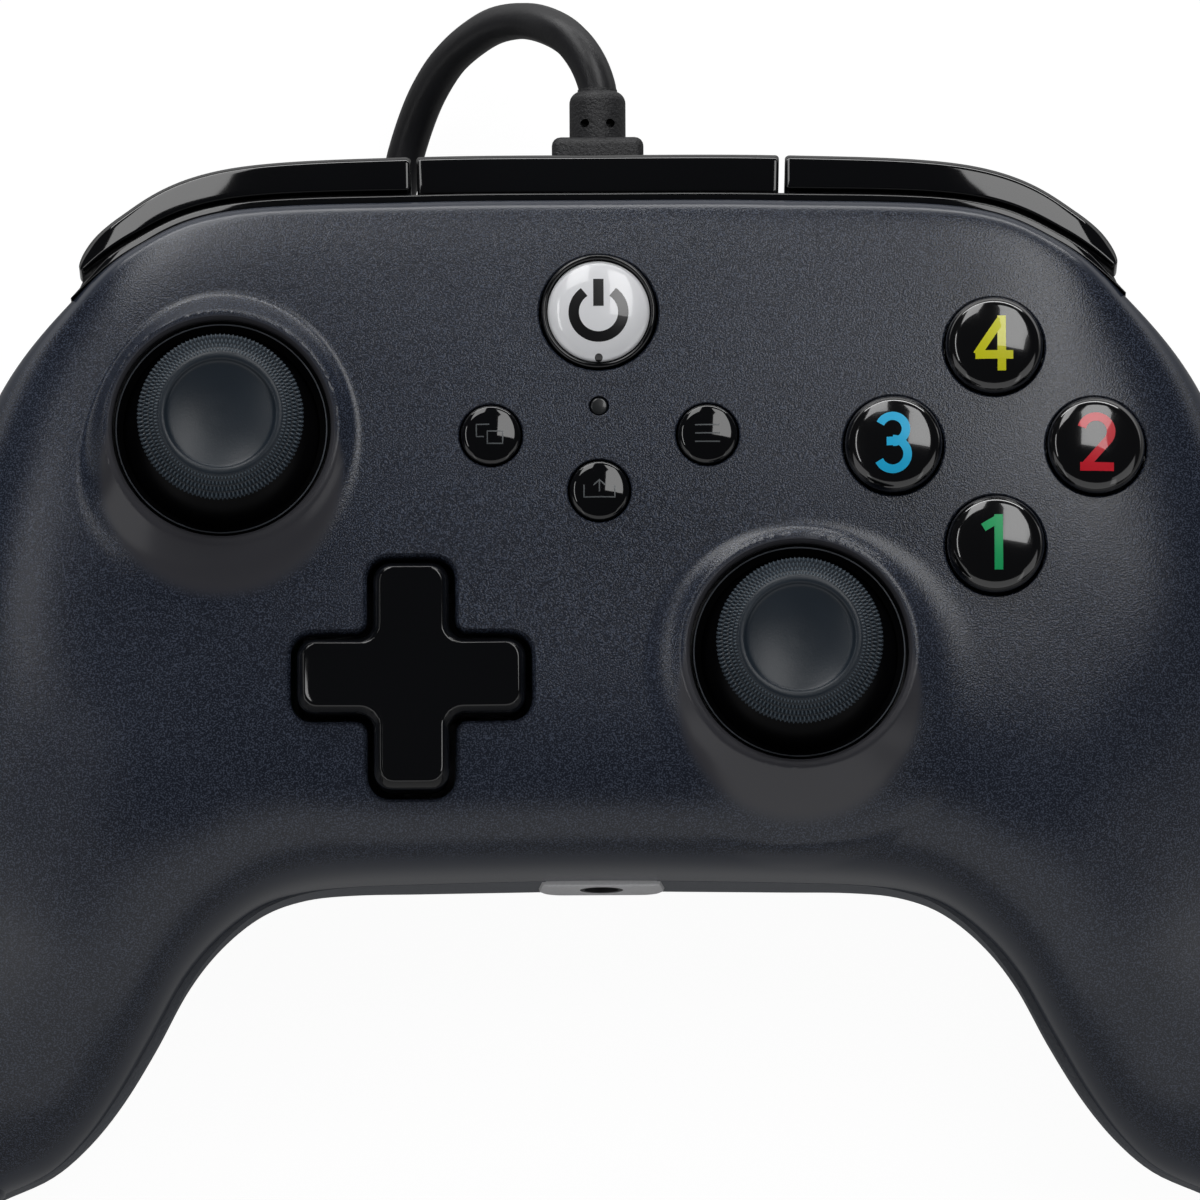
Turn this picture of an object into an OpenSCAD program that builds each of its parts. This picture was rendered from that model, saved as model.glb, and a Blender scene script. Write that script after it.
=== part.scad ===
// Wired game controller: two moulded shells, bumpers, triggers, two sticks, a cross pad, eight buttons,
// the board with its sensors, two rumble motors, a headset socket and a corded plug.
// Millimetres. The controller lies face up on a table: X to the right, Y away from the player, Z up.
// The origin is on the table under the middle of the controller, leaving the cord out.

/* [Body] */
// Width across the two grips
body_w = 153; // [149:1:160]
// How far the grips reach toward the player
grip_reach = 51; // [48:0.2:54]
// Height of the face above the table at its crown
face_z = 46.5; // [46:0.1:47.5]
// Wall of both shells
wall = 2.2; // [1.8:0.1:2.4]
// Gap between the two shells at the seam
seam_gap = 0.25; // [0.15:0.05:0.5]
// Width of the flat foot under the middle of the back shell
foot_w = 54; // [46:1:58]
// Depth of that foot
foot_d = 28; // [22:1:32]

/* [Face layout] */
// Left stick, distance from the middle
left_stick_x = -38; // [-39:0.5:-37]
// Left stick, distance from the origin toward the bumpers
left_stick_y = 22; // [21:0.5:22.5]
// Right stick, distance from the middle
right_stick_x = 20; // [19:0.5:21]
// Right stick, distance from the origin toward the bumpers
right_stick_y = -1; // [-1.5:0.5:0]
// Cross pad, distance from the middle
pad_x = -19; // [-20:0.5:-18.5]
// Cross pad, distance from the origin toward the bumpers
pad_y = -3.3; // [-4:0.1:-2.5]
// Middle of the four face buttons, distance from the middle
face_x = 39.8; // [39:0.2:40.4]
// Middle of the four face buttons, toward the bumpers
face_y = 20; // [19:0.5:21]
// Face buttons, from that middle to each button
face_pitch = 10.2; // [10:0.1:10.6]
// Home button, toward the bumpers
home_y = 33.9; // [33:0.1:34.4]
// Status light, toward the bumpers
light_y = 24.2; // [23.6:0.1:24.6]
// View and menu buttons, distance from the middle
menu_x = 10.9; // [10.4:0.1:11.4]
// View and menu buttons, toward the bumpers
menu_y = 21.2; // [20.8:0.1:22]
// Share button, toward the bumpers
share_y = 15.5; // [15:0.1:16]

/* [Buttons] */
// Diameter of a face button
button_d = 9.8; // [9.2:0.1:9.9]
// Diameter of a small button
small_d = 6; // [5.6:0.1:6.2]
// Diameter of the home button
home_d = 11.6; // [11:0.1:11.8]
// Diameter of the status light
light_d = 1.8; // [1.4:0.1:2]
// Radial gap round a button in its sleeve
button_gap = 0.2; // [0.15:0.05:0.3]
// Wall of a button's sleeve under the face
sleeve_wall = 1.2; // [1:0.1:1.4]
// How far a face button's dome stands over its hole
button_rise = 2.4; // [2:0.1:2.8]
// Length of the cross pad, arm end to arm end
pad_w = 23; // [22.4:0.1:23.2]
// Width of the pad's arms
arm_w = 7.6; // [7.2:0.1:7.8]
// Gap round the pad in its cross-shaped hole
pad_gap = 0.6; // [0.55:0.05:0.7]

/* [Sticks] */
// Radius of the stick's opening in the face
stick_hole_r = 11; // [10.9:0.05:11.1]
// How far the collar round the opening rises over the crown
collar_rise = 1; // [0.6:0.1:1]
// Diameter of the thumb cap
cap_d = 16.2; // [15.6:0.1:16.6]
// Height of the thumb cap's top over the stick's pivot
cap_top = 21.3; // [21:0.1:22]
// Outer radius of the dome under the opening
dome_r = 13.9; // [13.6:0.1:14]
// Wall of the dome
dome_wall = 1.2; // [1:0.1:1.2]
// Height of the stick's pivot over the board
pivot_h = 6; // [5.9:0.1:6.1]
// Radius of the stick's shaft
shaft_r = 1.6; // [1.4:0.1:1.6]
// Radius of the trunnions of the sensor yokes
trunnion_r = 1; // [0.8:0.1:1.1]
// Running clearance of pins and trunnions in their holes
run_gap = 0.05; // [0.03:0.01:0.08]
// How far a stick clicks down
click = 0.5; // [0.4:0.1:0.6]

/* [Bumpers and triggers] */
// Depth of the bumpers in front of the shell's edge
bumper_d = 5; // [4.6:0.1:5.2]
// Height of the bumpers' top over the table
bumper_top = 41; // [40.6:0.1:41.4]
// Height of the bumpers' underside
bumper_low = 33; // [32.8:0.1:33.4]
// Width of the dark trim between shell and bumpers
trim_t = 0.8; // [0.6:0.1:0.9]
// Gap between trim and bumpers
bumper_gap = 0.5; // [0.5:0.05:0.6]
// Half the length of the bridge between the two bumpers
bridge_half = 18.2; // [17.6:0.1:18.6]
// Gap between the bridge and each bumper
bridge_gap = 0.6; // [0.5:0.1:0.8]
// Radius of a bumper's hinge pin
bumper_pin_r = 0.8; // [0.7:0.1:0.9]
// Radius of a trigger's hinge pin
trigger_pin_r = 1.5; // [1.3:0.1:1.6]
// Trigger's hinge, toward the bumpers
trigger_y = 35.5; // [35.2:0.1:36]
// Trigger's hinge, height over the table
trigger_z = 25; // [24.8:0.1:25.4]

/* [Inside] */
// Height of the board's upper face
board_z = 29; // [28.8:0.1:29.2]
// Thickness of the board
board_t = 1.6; // [1.2:0.2:1.6]
// Radius of a rumble motor's can
motor_r = 8; // [7.4:0.2:8]
// Height of a rumble motor's can
motor_h = 12; // [10:0.5:12]
// Outer radius of the rumble weight
weight_r = 8.4; // [7.8:0.1:8.4]
// Radius of the headset socket's bore
jack_r = 1.78; // [1.7:0.02:1.85]
// Depth of the headset socket's bore
jack_depth = 12; // [11:0.5:13]
// Radius of a shell screw's thread
screw_r = 1.2; // [1:0.1:1.3]
// Radius of a shell screw's head
screw_head_r = 2.4; // [2.2:0.1:2.6]

/* [Cord and plug] */
// Diameter of the cord
cord_d = 3.8; // [3.4:0.1:4]
// Height of the cord where it leaves the controller
cord_z = 24; // [23.6:0.1:24.4]
// Radius of the strain relief's neck
neck_r = 2.85; // [2.6:0.05:3]
// Turns in one layer of the coil
coil_turns = 4.75; // [3.75:1:4.75]
// Distance between neighbouring turns
coil_pitch = 4.4; // [4.3:0.1:4.6]
// Inner radius of the coil, to the cord's middle
coil_in = 12.5; // [11:0.5:14]
// Thickness of the tie round the coil
tie_t = 0.6; // [0.4:0.1:0.8]
// Width of the plug's metal shell
plug_w = 12; // [12:0.1:12.2]
// Height of the plug's metal shell
plug_h = 4.5; // [4.4:0.1:4.6]

/* [Hidden] */
$fn = 48;

// Plan of the right half: thirteen stations from the middle of the back edge round to the grip's tip.
outer_x0 = [0, 18, 37, 46.4, 53.1, 60.2, 66.2, 71, 74.8, 76.5, 75.8, 72, 66];
outer_y0 = [46, 45.9, 45.1, 41.6, 36.2, 27.7, 14.5, 1.5, -13, -26, -37, -45.5, -50.2];
inner_x0 = [0, 9, 18, 25, 30, 34.4, 38.6, 42.2, 45.7, 49.1, 52.4, 56, 60.5];
inner_y0 = [-21.6, -21.7, -21.9, -22.1, -22.6, -24, -27, -31, -36.8, -42, -46, -48.9, -50.8];
// Height of the seam at the outer and at the inner edge, of the face under its crown, and of the underside.
seam_out = [31, 31, 31, 31, 30.8, 30.3, 29.5, 28, 25, 21, 17, 13.5, 11.5];
seam_in = [29, 29, 29, 28.8, 28.4, 28, 27, 25, 22, 18.5, 15.5, 12.8, 11.3];
crown_drop = [0, 0, 0.1, 0.3, 0.7, 1.4, 2.8, 5.6, 10, 15.8, 20.6, 26, 30.5];
under_z = [9.5, 9.5, 9.5, 9.5, 9.2, 8.6, 7.6, 6, 4, 2, 0.8, 0.3, 2];
// Height of the upright wall over the seam, behind the bumpers and fading out along the grips.
rim_lift = [10, 10, 10, 10, 8.5, 5, 2, 0.8, 0.6, 0.6, 0.6, 0.6, 0.6];
// Squareness of the section: outer and inner side of the face, and the underside.
round_out = [2.2, 2.2, 2.2, 2.3, 2.5, 2.7, 2.7, 2.5, 2.4, 2.3, 2.2, 2.1, 2];
round_in = [4.5, 4.5, 4.5, 4.2, 3.8, 3.4, 3, 2.8, 2.6, 2.4, 2.3, 2.2, 2.1];
round_low = [4.5, 4.5, 4.2, 3.8, 3.4, 3.2, 3, 2.8, 2.6, 2.5, 2.4, 2.3, 2.2];
// How far the back shell stands out past the front shell, at the outer and at the inner edge.
back_out = [4.4, 4.4, 4, 2.8, 1.2, 0.3, 0, 0, 0, 0, 0, 0, 0];
back_in = [0, 0, 0, 0, 0.1, 0.3, 0.5, 0.7, 0.8, 0.7, 0.5, 0.3, 0];
// Depth of the bumpers as a share of their depth at the middle.
bumper_taper = [1, 1, 0.93, 0.76, 0.54];

last = len(outer_x0) - 1;
grow = body_w / 2 - max(outer_x0);
reach = (grip_reach + inner_y0[0]) / (-inner_y0[last] + inner_y0[0]);
outer_x = [for (k = [0:last]) outer_x0[k] + grow * pow(k / last, 2)];
inner_x = [for (k = [0:last]) inner_x0[k] + grow * pow(k / last, 2)];
outer_y = [for (y = outer_y0) y > inner_y0[0] ? y : inner_y0[0] + (y - inner_y0[0]) * reach];
inner_y = [for (y = inner_y0) inner_y0[0] + (y - inner_y0[0]) * reach];
crown = [for (c = crown_drop) face_z - c];

// Smooth curve through a list, in station units; an odd list changes sign across the middle.
function item(list, k, odd) = k < 0 ? (odd ? -list[-k] : list[-k]) : list[min(k, len(list) - 1)];
function blend(a, b, c, d, t) =
  (2 * b + (c - a) * t + (2 * a - 5 * b + 4 * c - d) * t * t + (3 * b - a - 3 * c + d) * t * t * t) / 2;
function along(list, u, odd = false) =
  let (i = min(floor(u), len(list) - 2))
  blend(item(list, i - 1, odd), item(list, i, odd), item(list, i + 1, odd), item(list, i + 2, odd), u - i);

// Point and outward direction of the shell's outer edge, for a signed station.
function edge(u) = [sign(u) * along(outer_x, abs(u), true), along(outer_y, abs(u))];
function edge_dir(u) =
  let (a = edge(u - 0.05), b = edge(u + 0.05), d = (b - a) / norm(b - a)) [-d[1], d[0]];
function edge_off(u, d) = edge(u) + d * edge_dir(u);
function inner_edge(u) = [sign(u) * along(inner_x, abs(u), true), along(inner_y, abs(u))];

// One section of a shell at a signed station: upright rim, then a rounded crown or underside.
step = 0.4;
count = round(2 * last / step);
ends = 3;
outer_n = 16;
inner_n = 10;
function station(i) = i == count / 2 ? 0 : -last + i * step;
function arch(o, i, rim_o, top, p_o, p_i, n) = [for (k = [0:n])
  let (
    a = 180 * k / n,
    p = a <= 90 ? p_o : p_i,
    s = pow(abs(cos(a)), 2 / p) / 2,
    t = a <= 90 ? 0.5 - s : 0.5 + s,
    f = pow(sin(a), 2 / p),
    base = rim_o[0] + (rim_o[1] - rim_o[0]) * t
  ) [o[0] + (i[0] - o[0]) * t, o[1] + (i[1] - o[1]) * t, base + (top - base) * f]];
function section(u, up, inset, n) =
  let (
    v = abs(u),
    grow_o = up ? 0 : along(back_out, v),
    grow_i = up ? 0 : along(back_in, v),
    o1 = edge(u),
    i1 = inner_edge(u),
    d = (i1 - o1) / norm(i1 - o1),
    o = o1 + d * (inset > 0 ? inset * 1.2 : -grow_o),
    i = i1 - d * (inset > 0 ? inset * 1.15 - grow_i : -grow_i),
    so = along(seam_out, v) - (up ? 0 : seam_gap),
    si = along(seam_in, v) - (up ? 0 : seam_gap),
    lift = along(rim_lift, v) * (inset > 0 ? 0.9 : 1),
    rim = up ? [so + lift, si] : [so - 0.6, si - 0.6],
    top = up ? along(crown, v) - inset : along(under_z, v) + inset,
    p_o = up ? along(round_out, v) : along(round_low, v),
    p_i = up ? along(round_in, v) : along(round_low, v),
    body = arch(o, i, rim, top, p_o, p_i, n)
  )
  concat([[o[0], o[1], so]], up ? body : concat(body, [[i[0], i[1], si]]));

// A shell as one closed skin: outer sections, inner sections that stop short of the tips, and the rim.
function grid(first, rows, cols, flip) = [for (i = [0:rows - 2], j = [0:cols - 2], h = [0, 1])
  let (
    a = first + i * cols + j,
    b = a + cols,
    tri = h == 0 ? [a, a + 1, b + 1] : [a, b + 1, b]
  ) flip ? [tri[2], tri[1], tri[0]] : tri];
function turn(face, flip) = flip ? [for (k = [len(face) - 1:-1:0]) face[k]] : face;
module shell(up) {
  co = len(section(0, up, 0, outer_n));
  ci = len(section(0, up, wall, inner_n));
  rows_o = count + 1;
  rows_i = count + 1 - 2 * ends;
  base = rows_o * co;
  outside = [for (i = [0:count]) each section(station(i), up, 0, outer_n)];
  inside = [for (i = [ends:count - ends]) each section(station(i), up, wall, inner_n)];
  flip = !up;
  o = function(i, j) i * co + j;
  n = function(i, j) base + (i - ends) * ci + j;
  rims = [for (i = [ends:count - ends - 1]) each [
    [o(i, 0), o(i + 1, 0), n(i + 1, 0)], [o(i, 0), n(i + 1, 0), n(i, 0)],
    [o(i, co - 1), n(i, ci - 1), n(i + 1, ci - 1)], [o(i, co - 1), n(i + 1, ci - 1), o(i + 1, co - 1)]]];
  tips = [for (i = [each [0:ends - 2], each [count - ends + 1:count - 1]]) each [
    [o(i, 0), o(i + 1, 0), o(i + 1, co - 1)], [o(i, 0), o(i + 1, co - 1), o(i, co - 1)]]];
  first = [o(ends - 1, 0), o(ends, 0), n(ends, 0), n(ends, ci - 1), o(ends, co - 1), o(ends - 1, co - 1)];
  final = [o(count - ends, 0), o(count - ends + 1, 0), o(count - ends + 1, co - 1), o(count - ends, co - 1),
    n(count - ends, ci - 1), n(count - ends, 0)];
  fan_last = [for (k = [0:3]) [final[1], final[(k + 2) % 6], final[(k + 3) % 6]]];
  fan_first = [for (k = [1:4]) [first[0], first[k], first[k + 1]]];
  caps = [
    [for (j = [0:co - 1]) o(0, j)],
    [for (j = [co - 1:-1:0]) o(count, j)],
    [for (j = [ci - 1:-1:0]) n(ends, j)],
    [for (j = [0:ci - 1]) n(count - ends, j)]
  ];
  faces = concat(
    grid(0, rows_o, co, !flip),
    grid(base, rows_i, ci, flip),
    [for (f = concat(rims, tips, fan_first, fan_last)) turn(f, flip)],
    [for (f = caps) turn(f, flip)]
  );
  polyhedron(points = concat(outside, inside), faces = faces, convexity = 10);
}

// Places that several pieces share.
pivot_z = board_z + pivot_h;
rim_z = face_z + collar_rise;
seat_z = face_z - 1.7;
collar_r = stick_hole_r + 4.4;
ring_r = stick_hole_r + 1.6;
sticks = [[left_stick_x, left_stick_y], [right_stick_x, right_stick_y]];
north = [face_x, face_y + face_pitch];
south = [face_x, face_y - face_pitch];
east = [face_x + face_pitch, face_y];
west = [face_x - face_pitch, face_y];
home = [0, home_y];
view = [-menu_x, menu_y];
menu = [menu_x, menu_y];
share = [0, share_y];
pad = [pad_x, pad_y];
pad_z = face_z - 6;
// How far the face lies under its crown at each button.
north_drop = 1.4;
south_drop = 0.5;
east_drop = 1.7;
west_drop = 0.3;
home_drop = 1.5;
small_drop = 0.2;
// Every round button: place, drop of the face, and radius.
rounds = [
  [north, north_drop, button_d / 2], [south, south_drop, button_d / 2], [east, east_drop, button_d / 2],
  [west, west_drop, button_d / 2], [home, home_drop, home_d / 2], [view, small_drop, small_d / 2],
  [menu, small_drop, small_d / 2], [share, small_drop, small_d / 2]
];
sleeve_low = board_z + 9.2;
flange_t = 1;
dome_low = board_z + 0.8;
dome_top = board_z + 2.7;
// Screw posts: place, height where the two shells meet, foot of the lower post and head of the upper one.
side_post = [61 + grow * 0.32, 4];
grip_post = [63 + grow * 0.66, inner_y0[0] - 15.3 * reach];
posts = [
  [side_post, 28, 11, face_z - 8.5], [[-side_post[0], side_post[1]], 28, 11, face_z - 8.5],
  [grip_post, 16, 2.4, face_z - 21.1], [[-grip_post[0], grip_post[1]], 16, 2.4, face_z - 21.1],
  [[0, 3], 24, 1.2, face_z - 1.5]
];
post_r = 3.8;
head_up = 7;
motor_x = 57;
motor_y = -18;
motor_z = 16.2;
cradle_r = weight_r + 0.4;
jack_y = -22.4;
jack_z = 25.6;
back_y = outer_y0[0] + back_out[0];
block_end = 54.9;
neck_end = 60.4;
trigger_in = 34;
trigger_out = 42;
bracket_in = 31.6;
bracket_out = 47;
pull_x = 34;
foot_y = 13;

module place(p, z = 0) translate([p[0], p[1], z]) children();
module across(r, x0, x1) translate([x0, 0, 0]) rotate([0, 90, 0]) cylinder(r = r, h = x1 - x0);
module ahead(r, y0, y1) translate([0, y1, 0]) rotate([90, 0, 0]) cylinder(r = r, h = y1 - y0);
module both() {
  children();
  mirror([1, 0, 0]) children();
}
module slab(x0, x1, y0, y1, z0, z1) translate([x0, y0, z0]) cube([x1 - x0, y1 - y0, z1 - z0]);

// Outline of a cross with rounded ends and rounded inner corners.
function arc(x, y, r, a0, a1, n = 6) =
  [for (k = [0:n]) let (a = a0 + (a1 - a0) * k / n) [x + r * cos(a), y + r * sin(a)]];
function spun(p, a) = [p[0] * cos(a) - p[1] * sin(a), p[0] * sin(a) + p[1] * cos(a)];
function cross_outline(length, width, out_r, in_r) =
  let (
    a = length / 2,
    b = width / 2,
    quarter = concat(
      arc(a - out_r, b - out_r, out_r, 0, 90),
      arc(b + in_r, b + in_r, in_r, 270, 180),
      arc(b - out_r, a - out_r, out_r, 0, 90)
    )
  ) [for (k = [0:3], p = quarter) spun(p, 90 * k)];
module cross_slab(length, width, out_r, in_r, z0, z1)
  place(pad, z0) linear_extrude(z1 - z0) polygon(cross_outline(length, width, out_r, in_r));

// Flat band along the shell's back edge between two distances from it.
function band(u0, u1, near, far) =
  let (n = max(1, round((u1 - u0) / 0.2)), us = [for (k = [0:n]) u0 + (u1 - u0) * k / n])
  concat([for (u = us) edge_off(u, near)], [for (k = [n:-1:0]) edge_off(us[k], far(us[k]))]);

// A tube through a list of points.
function side(t) = let (s = cross(t, [0, 0, 1])) s / norm(s);
function tube_points(path, r, n) = [for (i = [0:len(path) - 1])
  let (
    d = path[min(i + 1, len(path) - 1)] - path[max(i - 1, 0)],
    t = d / norm(d),
    s = side(t),
    w = cross(s, t)
  ) each [for (k = [0:n - 1]) path[i] + r * (cos(360 * k / n) * s + sin(360 * k / n) * w)]];
function tube_faces(rings, n) = concat(
  [[for (k = [0:n - 1]) k]],
  [for (i = [0:rings - 2], k = [0:n - 1], h = [0, 1])
    let (a = i * n + k, b = i * n + (k + 1) % n) h == 0 ? [a, a + n, b + n] : [a, b + n, b]],
  [[for (k = [n - 1:-1:0]) (rings - 1) * n + k]]
);
module tube(path, r, n)
  polyhedron(points = tube_points(path, r, n), faces = tube_faces(len(path), n), convexity = 10);
function smooth(path, fine) = concat(
  [for (i = [0:len(path) - 2], k = [0:fine - 1])
    let (a = path[max(i - 1, 0)], d = path[min(i + 2, len(path) - 1)])
    blend(a, path[i], path[i + 1], d, k / fine)],
  [path[len(path) - 1]]);
function helix(r, height, turns, per, narrow = 0) = [for (k = [0:turns * per])
  let (f = k / (turns * per), q = r - narrow * f, a = 360 * k / per) [q * cos(a), q * sin(a), height * f]];

// Upper shell: the face with its openings, collars, button sleeves and screw posts.
module collar() rotate_extrude($fn = 96) polygon([
  [stick_hole_r, seat_z], [stick_hole_r, rim_z - 0.3], [stick_hole_r + 0.3, rim_z],
  [stick_hole_r + 1.2, rim_z - 0.1], [collar_r, face_z - 2.2], [collar_r, face_z - 2.4],
  [ring_r + 0.2, face_z - 2.4], [ring_r + 0.2, seat_z]]);
module front_shell() color("#2b2f36") difference() {
  union() {
    shell(true);
    for (p = sticks) place(p) collar();
    for (b = rounds) place(b[0], sleeve_low)
      cylinder(r = b[2] + button_gap + sleeve_wall, h = face_z - b[1] - 2 - sleeve_low);
    for (p = posts) place(p[0], p[1]) cylinder(r = post_r, h = p[3] - p[1]);
  }
  for (p = sticks) {
    place(p, board_z) cylinder(r = ring_r + 0.2, h = seat_z - board_z);
    place(p, board_z) cylinder(r = stick_hole_r, h = face_z);
  }
  for (b = rounds) place(b[0], board_z) cylinder(r = b[2] + button_gap, h = face_z);
  place([0, light_y], board_z) cylinder(r = light_d / 2 + 0.1, h = face_z);
  for (p = posts) place(p[0], p[1] - 1) cylinder(r = screw_r, h = 8);
  cross_slab(pad_w + 2 * pad_gap, arm_w + 2 * pad_gap, 1.6, 1.2, board_z, face_z + 2);
  both() slab(pull_x - 2.5, pull_x + 2.5, 38, 52, bumper_low + 0.6, bumper_low + 6);
}

// Lower shell: foot, trigger bays, motor cradles, screw posts, cord hole and headset boss.
bay = [[30.5, 31], [44, 31], [48, 28.4], [54.6, 28.4], [57.6, 30.8], [64, 30.8], [64, 62],
  [30.5, 62]];
bay_wall = [[30.2, 40.5], [30.2, 30.7], [43.9, 30.7], [47.9, 28.1], [51.5, 28.1], [51.5, 26.9],
  [47.5, 26.9], [43.5, 29.5], [29, 29.5], [29, 40.5]];
liner_low = 11.8;
module foot(inset) hull() {
  for (x = [-1, 1], y = [-1, 1])
    translate([x * (foot_w / 2 - 5), foot_y + y * (foot_d / 2 - 5), inset])
      cylinder(r1 = 5 - inset, r2 = 9 - inset, h = 11.2 - inset, $fn = 16);
}
module bay_liner() translate([0, 0, liner_low])
  linear_extrude(board_z - board_t - 0.3 - liner_low) polygon(bay_wall);
module back_shell() color("#3a3e45") difference() {
  union() {
    difference() {
      union() {
        shell(false);
        foot(0);
      }
      translate([0, 0, 0.2]) foot(wall);
      both() translate([0, 0, -1]) linear_extrude(32) polygon(bay);
    }
    slab(-6, 6, jack_y, -18.6, jack_z - 3.6, 28.6);
    for (p = posts) place(p[0], p[2]) cylinder(r = post_r + 0.2, h = p[1] - 0.2 - p[2]);
    both() translate([motor_x, motor_y, 7.9]) cylinder(r = cradle_r + 1.4, h = 12);
    both() bay_liner();
  }
  for (p = posts) {
    place(p[0], -1) cylinder(r = screw_head_r + 0.3, h = p[1] - head_up + 1);
    place(p[0], 0) cylinder(r = screw_r + 0.3, h = 40);
  }
  both() {
    translate([motor_x, motor_y, 9.4]) cylinder(r = cradle_r, h = motor_z - 0.5 - 9.4);
    translate([motor_x, motor_y, motor_z]) cylinder(r = cradle_r, h = 12);
    translate([motor_x, motor_y, 9.4]) cylinder(r = motor_r - 1, h = 12);
  }
  translate([0, 0, cord_z]) ahead(3.7, 40, 56);
  translate([0, 0, jack_z]) ahead(2.2, jack_y - 1, -15);
}

// Gloss strip along the shell's back edge, with a lug under each bumper for its hinge pin.
hinge = edge_off(1.16, 3);
module top_trim() color("#0c0c0e") difference() {
  union() {
    translate([0, 0, 31]) linear_extrude(bumper_top - 31.2)
      polygon(band(-4, 4, 0.06, function(u) 0.06 + trim_t));
    both() translate([0, 0, 31]) linear_extrude(1.5)
      polygon(band(1.06, 1.28, 0.06, function(u) 4.3));
  }
  both() {
    place(hinge, 30) cylinder(r = bumper_pin_r, h = 10);
    slab(pull_x - 2.5, pull_x + 2.5, 38, 52, bumper_low + 0.6, bumper_low + 6);
  }
}
module bumper_pins() color("#b8bcc2") both()
  place(hinge, 31) cylinder(r = bumper_pin_r, h = bumper_top - 2 - 31);
module bumper_bridge() color("#101012")
  translate([0, 0, 31.2]) linear_extrude(bumper_top - 31.2) intersection() {
    polygon(band(-1.4, 1.4, 0.1 + trim_t, function(u) bumper_d));
    translate([-bridge_half, 30]) square([2 * bridge_half, 40]);
  }
module right_bumper() color("#101012") difference() {
  union() {
    translate([0, 0, bumper_low]) linear_extrude(bumper_top - bumper_low) intersection() {
      polygon(band(0.9, 3.7, 0.06 + trim_t + bumper_gap, function(u) bumper_d * along(bumper_taper, u)));
      translate([bridge_half + bridge_gap, 20]) square([60, 40]);
    }
    slab(pull_x - 1, pull_x + 1, 42.8, 47.4, bumper_low + 1.6, bumper_low + 4.6);
  }
  place(hinge, bumper_low - 1) cylinder(r = bumper_pin_r + run_gap, h = bumper_top - 1.8 - bumper_low + 1);
}
module left_bumper() mirror([1, 0, 0]) right_bumper();

// Trigger: a curved blade that follows the shell's back edge, hung on a pin by a short arm.
blade = [[-2, 30.4], [3.7, 30.4], [3.2, 26], [2.8, 21], [3, 16], [3.9, 12], [5, 9], [4.4, 8], [2.4, 8.2],
  [0.4, 10.4], [-1.2, 15], [-2, 22]];
blade_u = [1.78, 2.1, 2.4, 2.7, 3, 3.3, 3.6, 3.9, 4.15];
blade_taper = [1, 1, 0.98, 0.94, 0.86, 0.76, 0.64, 0.52, 0.44];
module right_trigger() color("#141417") difference() {
  union() {
    polyhedron(
      points = [for (i = [0:len(blade_u) - 1], p = blade)
        let (q = edge_off(blade_u[i], p[0] > 0 ? p[0] * blade_taper[i] : p[0])) [q[0], q[1], p[1]]],
      faces = [for (f = tube_faces(len(blade_u), len(blade))) turn(f, true)],
      convexity = 6);
    slab(trigger_in + 1, trigger_out - 1, trigger_y, 44.2, trigger_z - 2.6, trigger_z + 3);
    translate([0, trigger_y, trigger_z]) across(3, trigger_in, trigger_out);
  }
  translate([0, trigger_y, trigger_z]) across(trigger_pin_r + run_gap, trigger_in - 9, trigger_out + 9);
}
module left_trigger() mirror([1, 0, 0]) right_trigger();
module bracket() difference() {
  union() {
    slab(bracket_in, bracket_in + 2, 32, 37.8, trigger_z - 3, 31);
    slab(bracket_out - 2, bracket_out, 32, 37.8, trigger_z - 3, 31);
    slab(bracket_in, bracket_out, 33.9, 37.8, 29.8, 31);
  }
  translate([0, trigger_y, trigger_z]) across(trigger_pin_r, bracket_in - 1, bracket_out + 1);
}
module trigger_brackets() color("#2a2a2c") both() bracket();
module trigger_pins() color("#b8bcc2") both()
  translate([0, trigger_y, trigger_z]) across(trigger_pin_r, bracket_in, bracket_out);
module right_trigger_spring() color("#c5c8cc")
  translate([trigger_out + 0.45, trigger_y, trigger_z]) rotate([0, 90, 0])
    tube(helix(trigger_pin_r + 0.75, 2.1, 2.5, 12), 0.35, 6);
module left_trigger_spring() mirror([1, 0, 0]) right_trigger_spring();

// A button: domed head, flange under the sleeve, and a stem that ends over its rubber dome.
module button(r, top, dome) rotate_extrude($fn = 96) polygon(concat(
  [[0, top]],
  [for (k = [1:8]) [r * sin(11.25 * k) , top - dome + dome * cos(11.25 * k)]],
  [[r, sleeve_low - 0.3], [r + 0.9, sleeve_low - 0.3], [r + 0.9, sleeve_low - 0.3 - flange_t],
    [r * 0.5, sleeve_low - 0.3 - flange_t], [r * 0.5, dome_top + 1.6], [0, dome_top + 1.6]]));
module face_button(p, drop) place(p) button(button_d / 2, face_z - drop + button_rise, 1.8);
module small_button(p) place(p) button(small_d / 2, face_z - small_drop + 0.9, 0.8);
module button_north() color("#1b1a12") face_button(north, north_drop);
module button_south() color("#121a14") face_button(south, south_drop);
module button_east() color("#1d1213") face_button(east, east_drop);
module button_west() color("#12161d") face_button(west, west_drop);
module home_button() color("#eceef0") place(home) button(home_d / 2, face_z - home_drop + 1.6, 1.6);
module view_button() color("#141416") small_button(view);
module menu_button() color("#141416") small_button(menu);
module share_button() color("#141416") small_button(share);
module status_light() color("#24262a") place([0, light_y]) union() {
  translate([0, 0, board_z]) cylinder(r = light_d / 2, h = face_z - 0.6 - board_z);
  translate([0, 0, face_z - 5]) cylinder(r = light_d / 2 + 1, h = 1.4);
}
module rubber_dome(p, r) place(p, dome_low - 0.1)
  cylinder(r1 = r, r2 = r * 0.7, h = dome_top - dome_low + 0.1);
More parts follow.
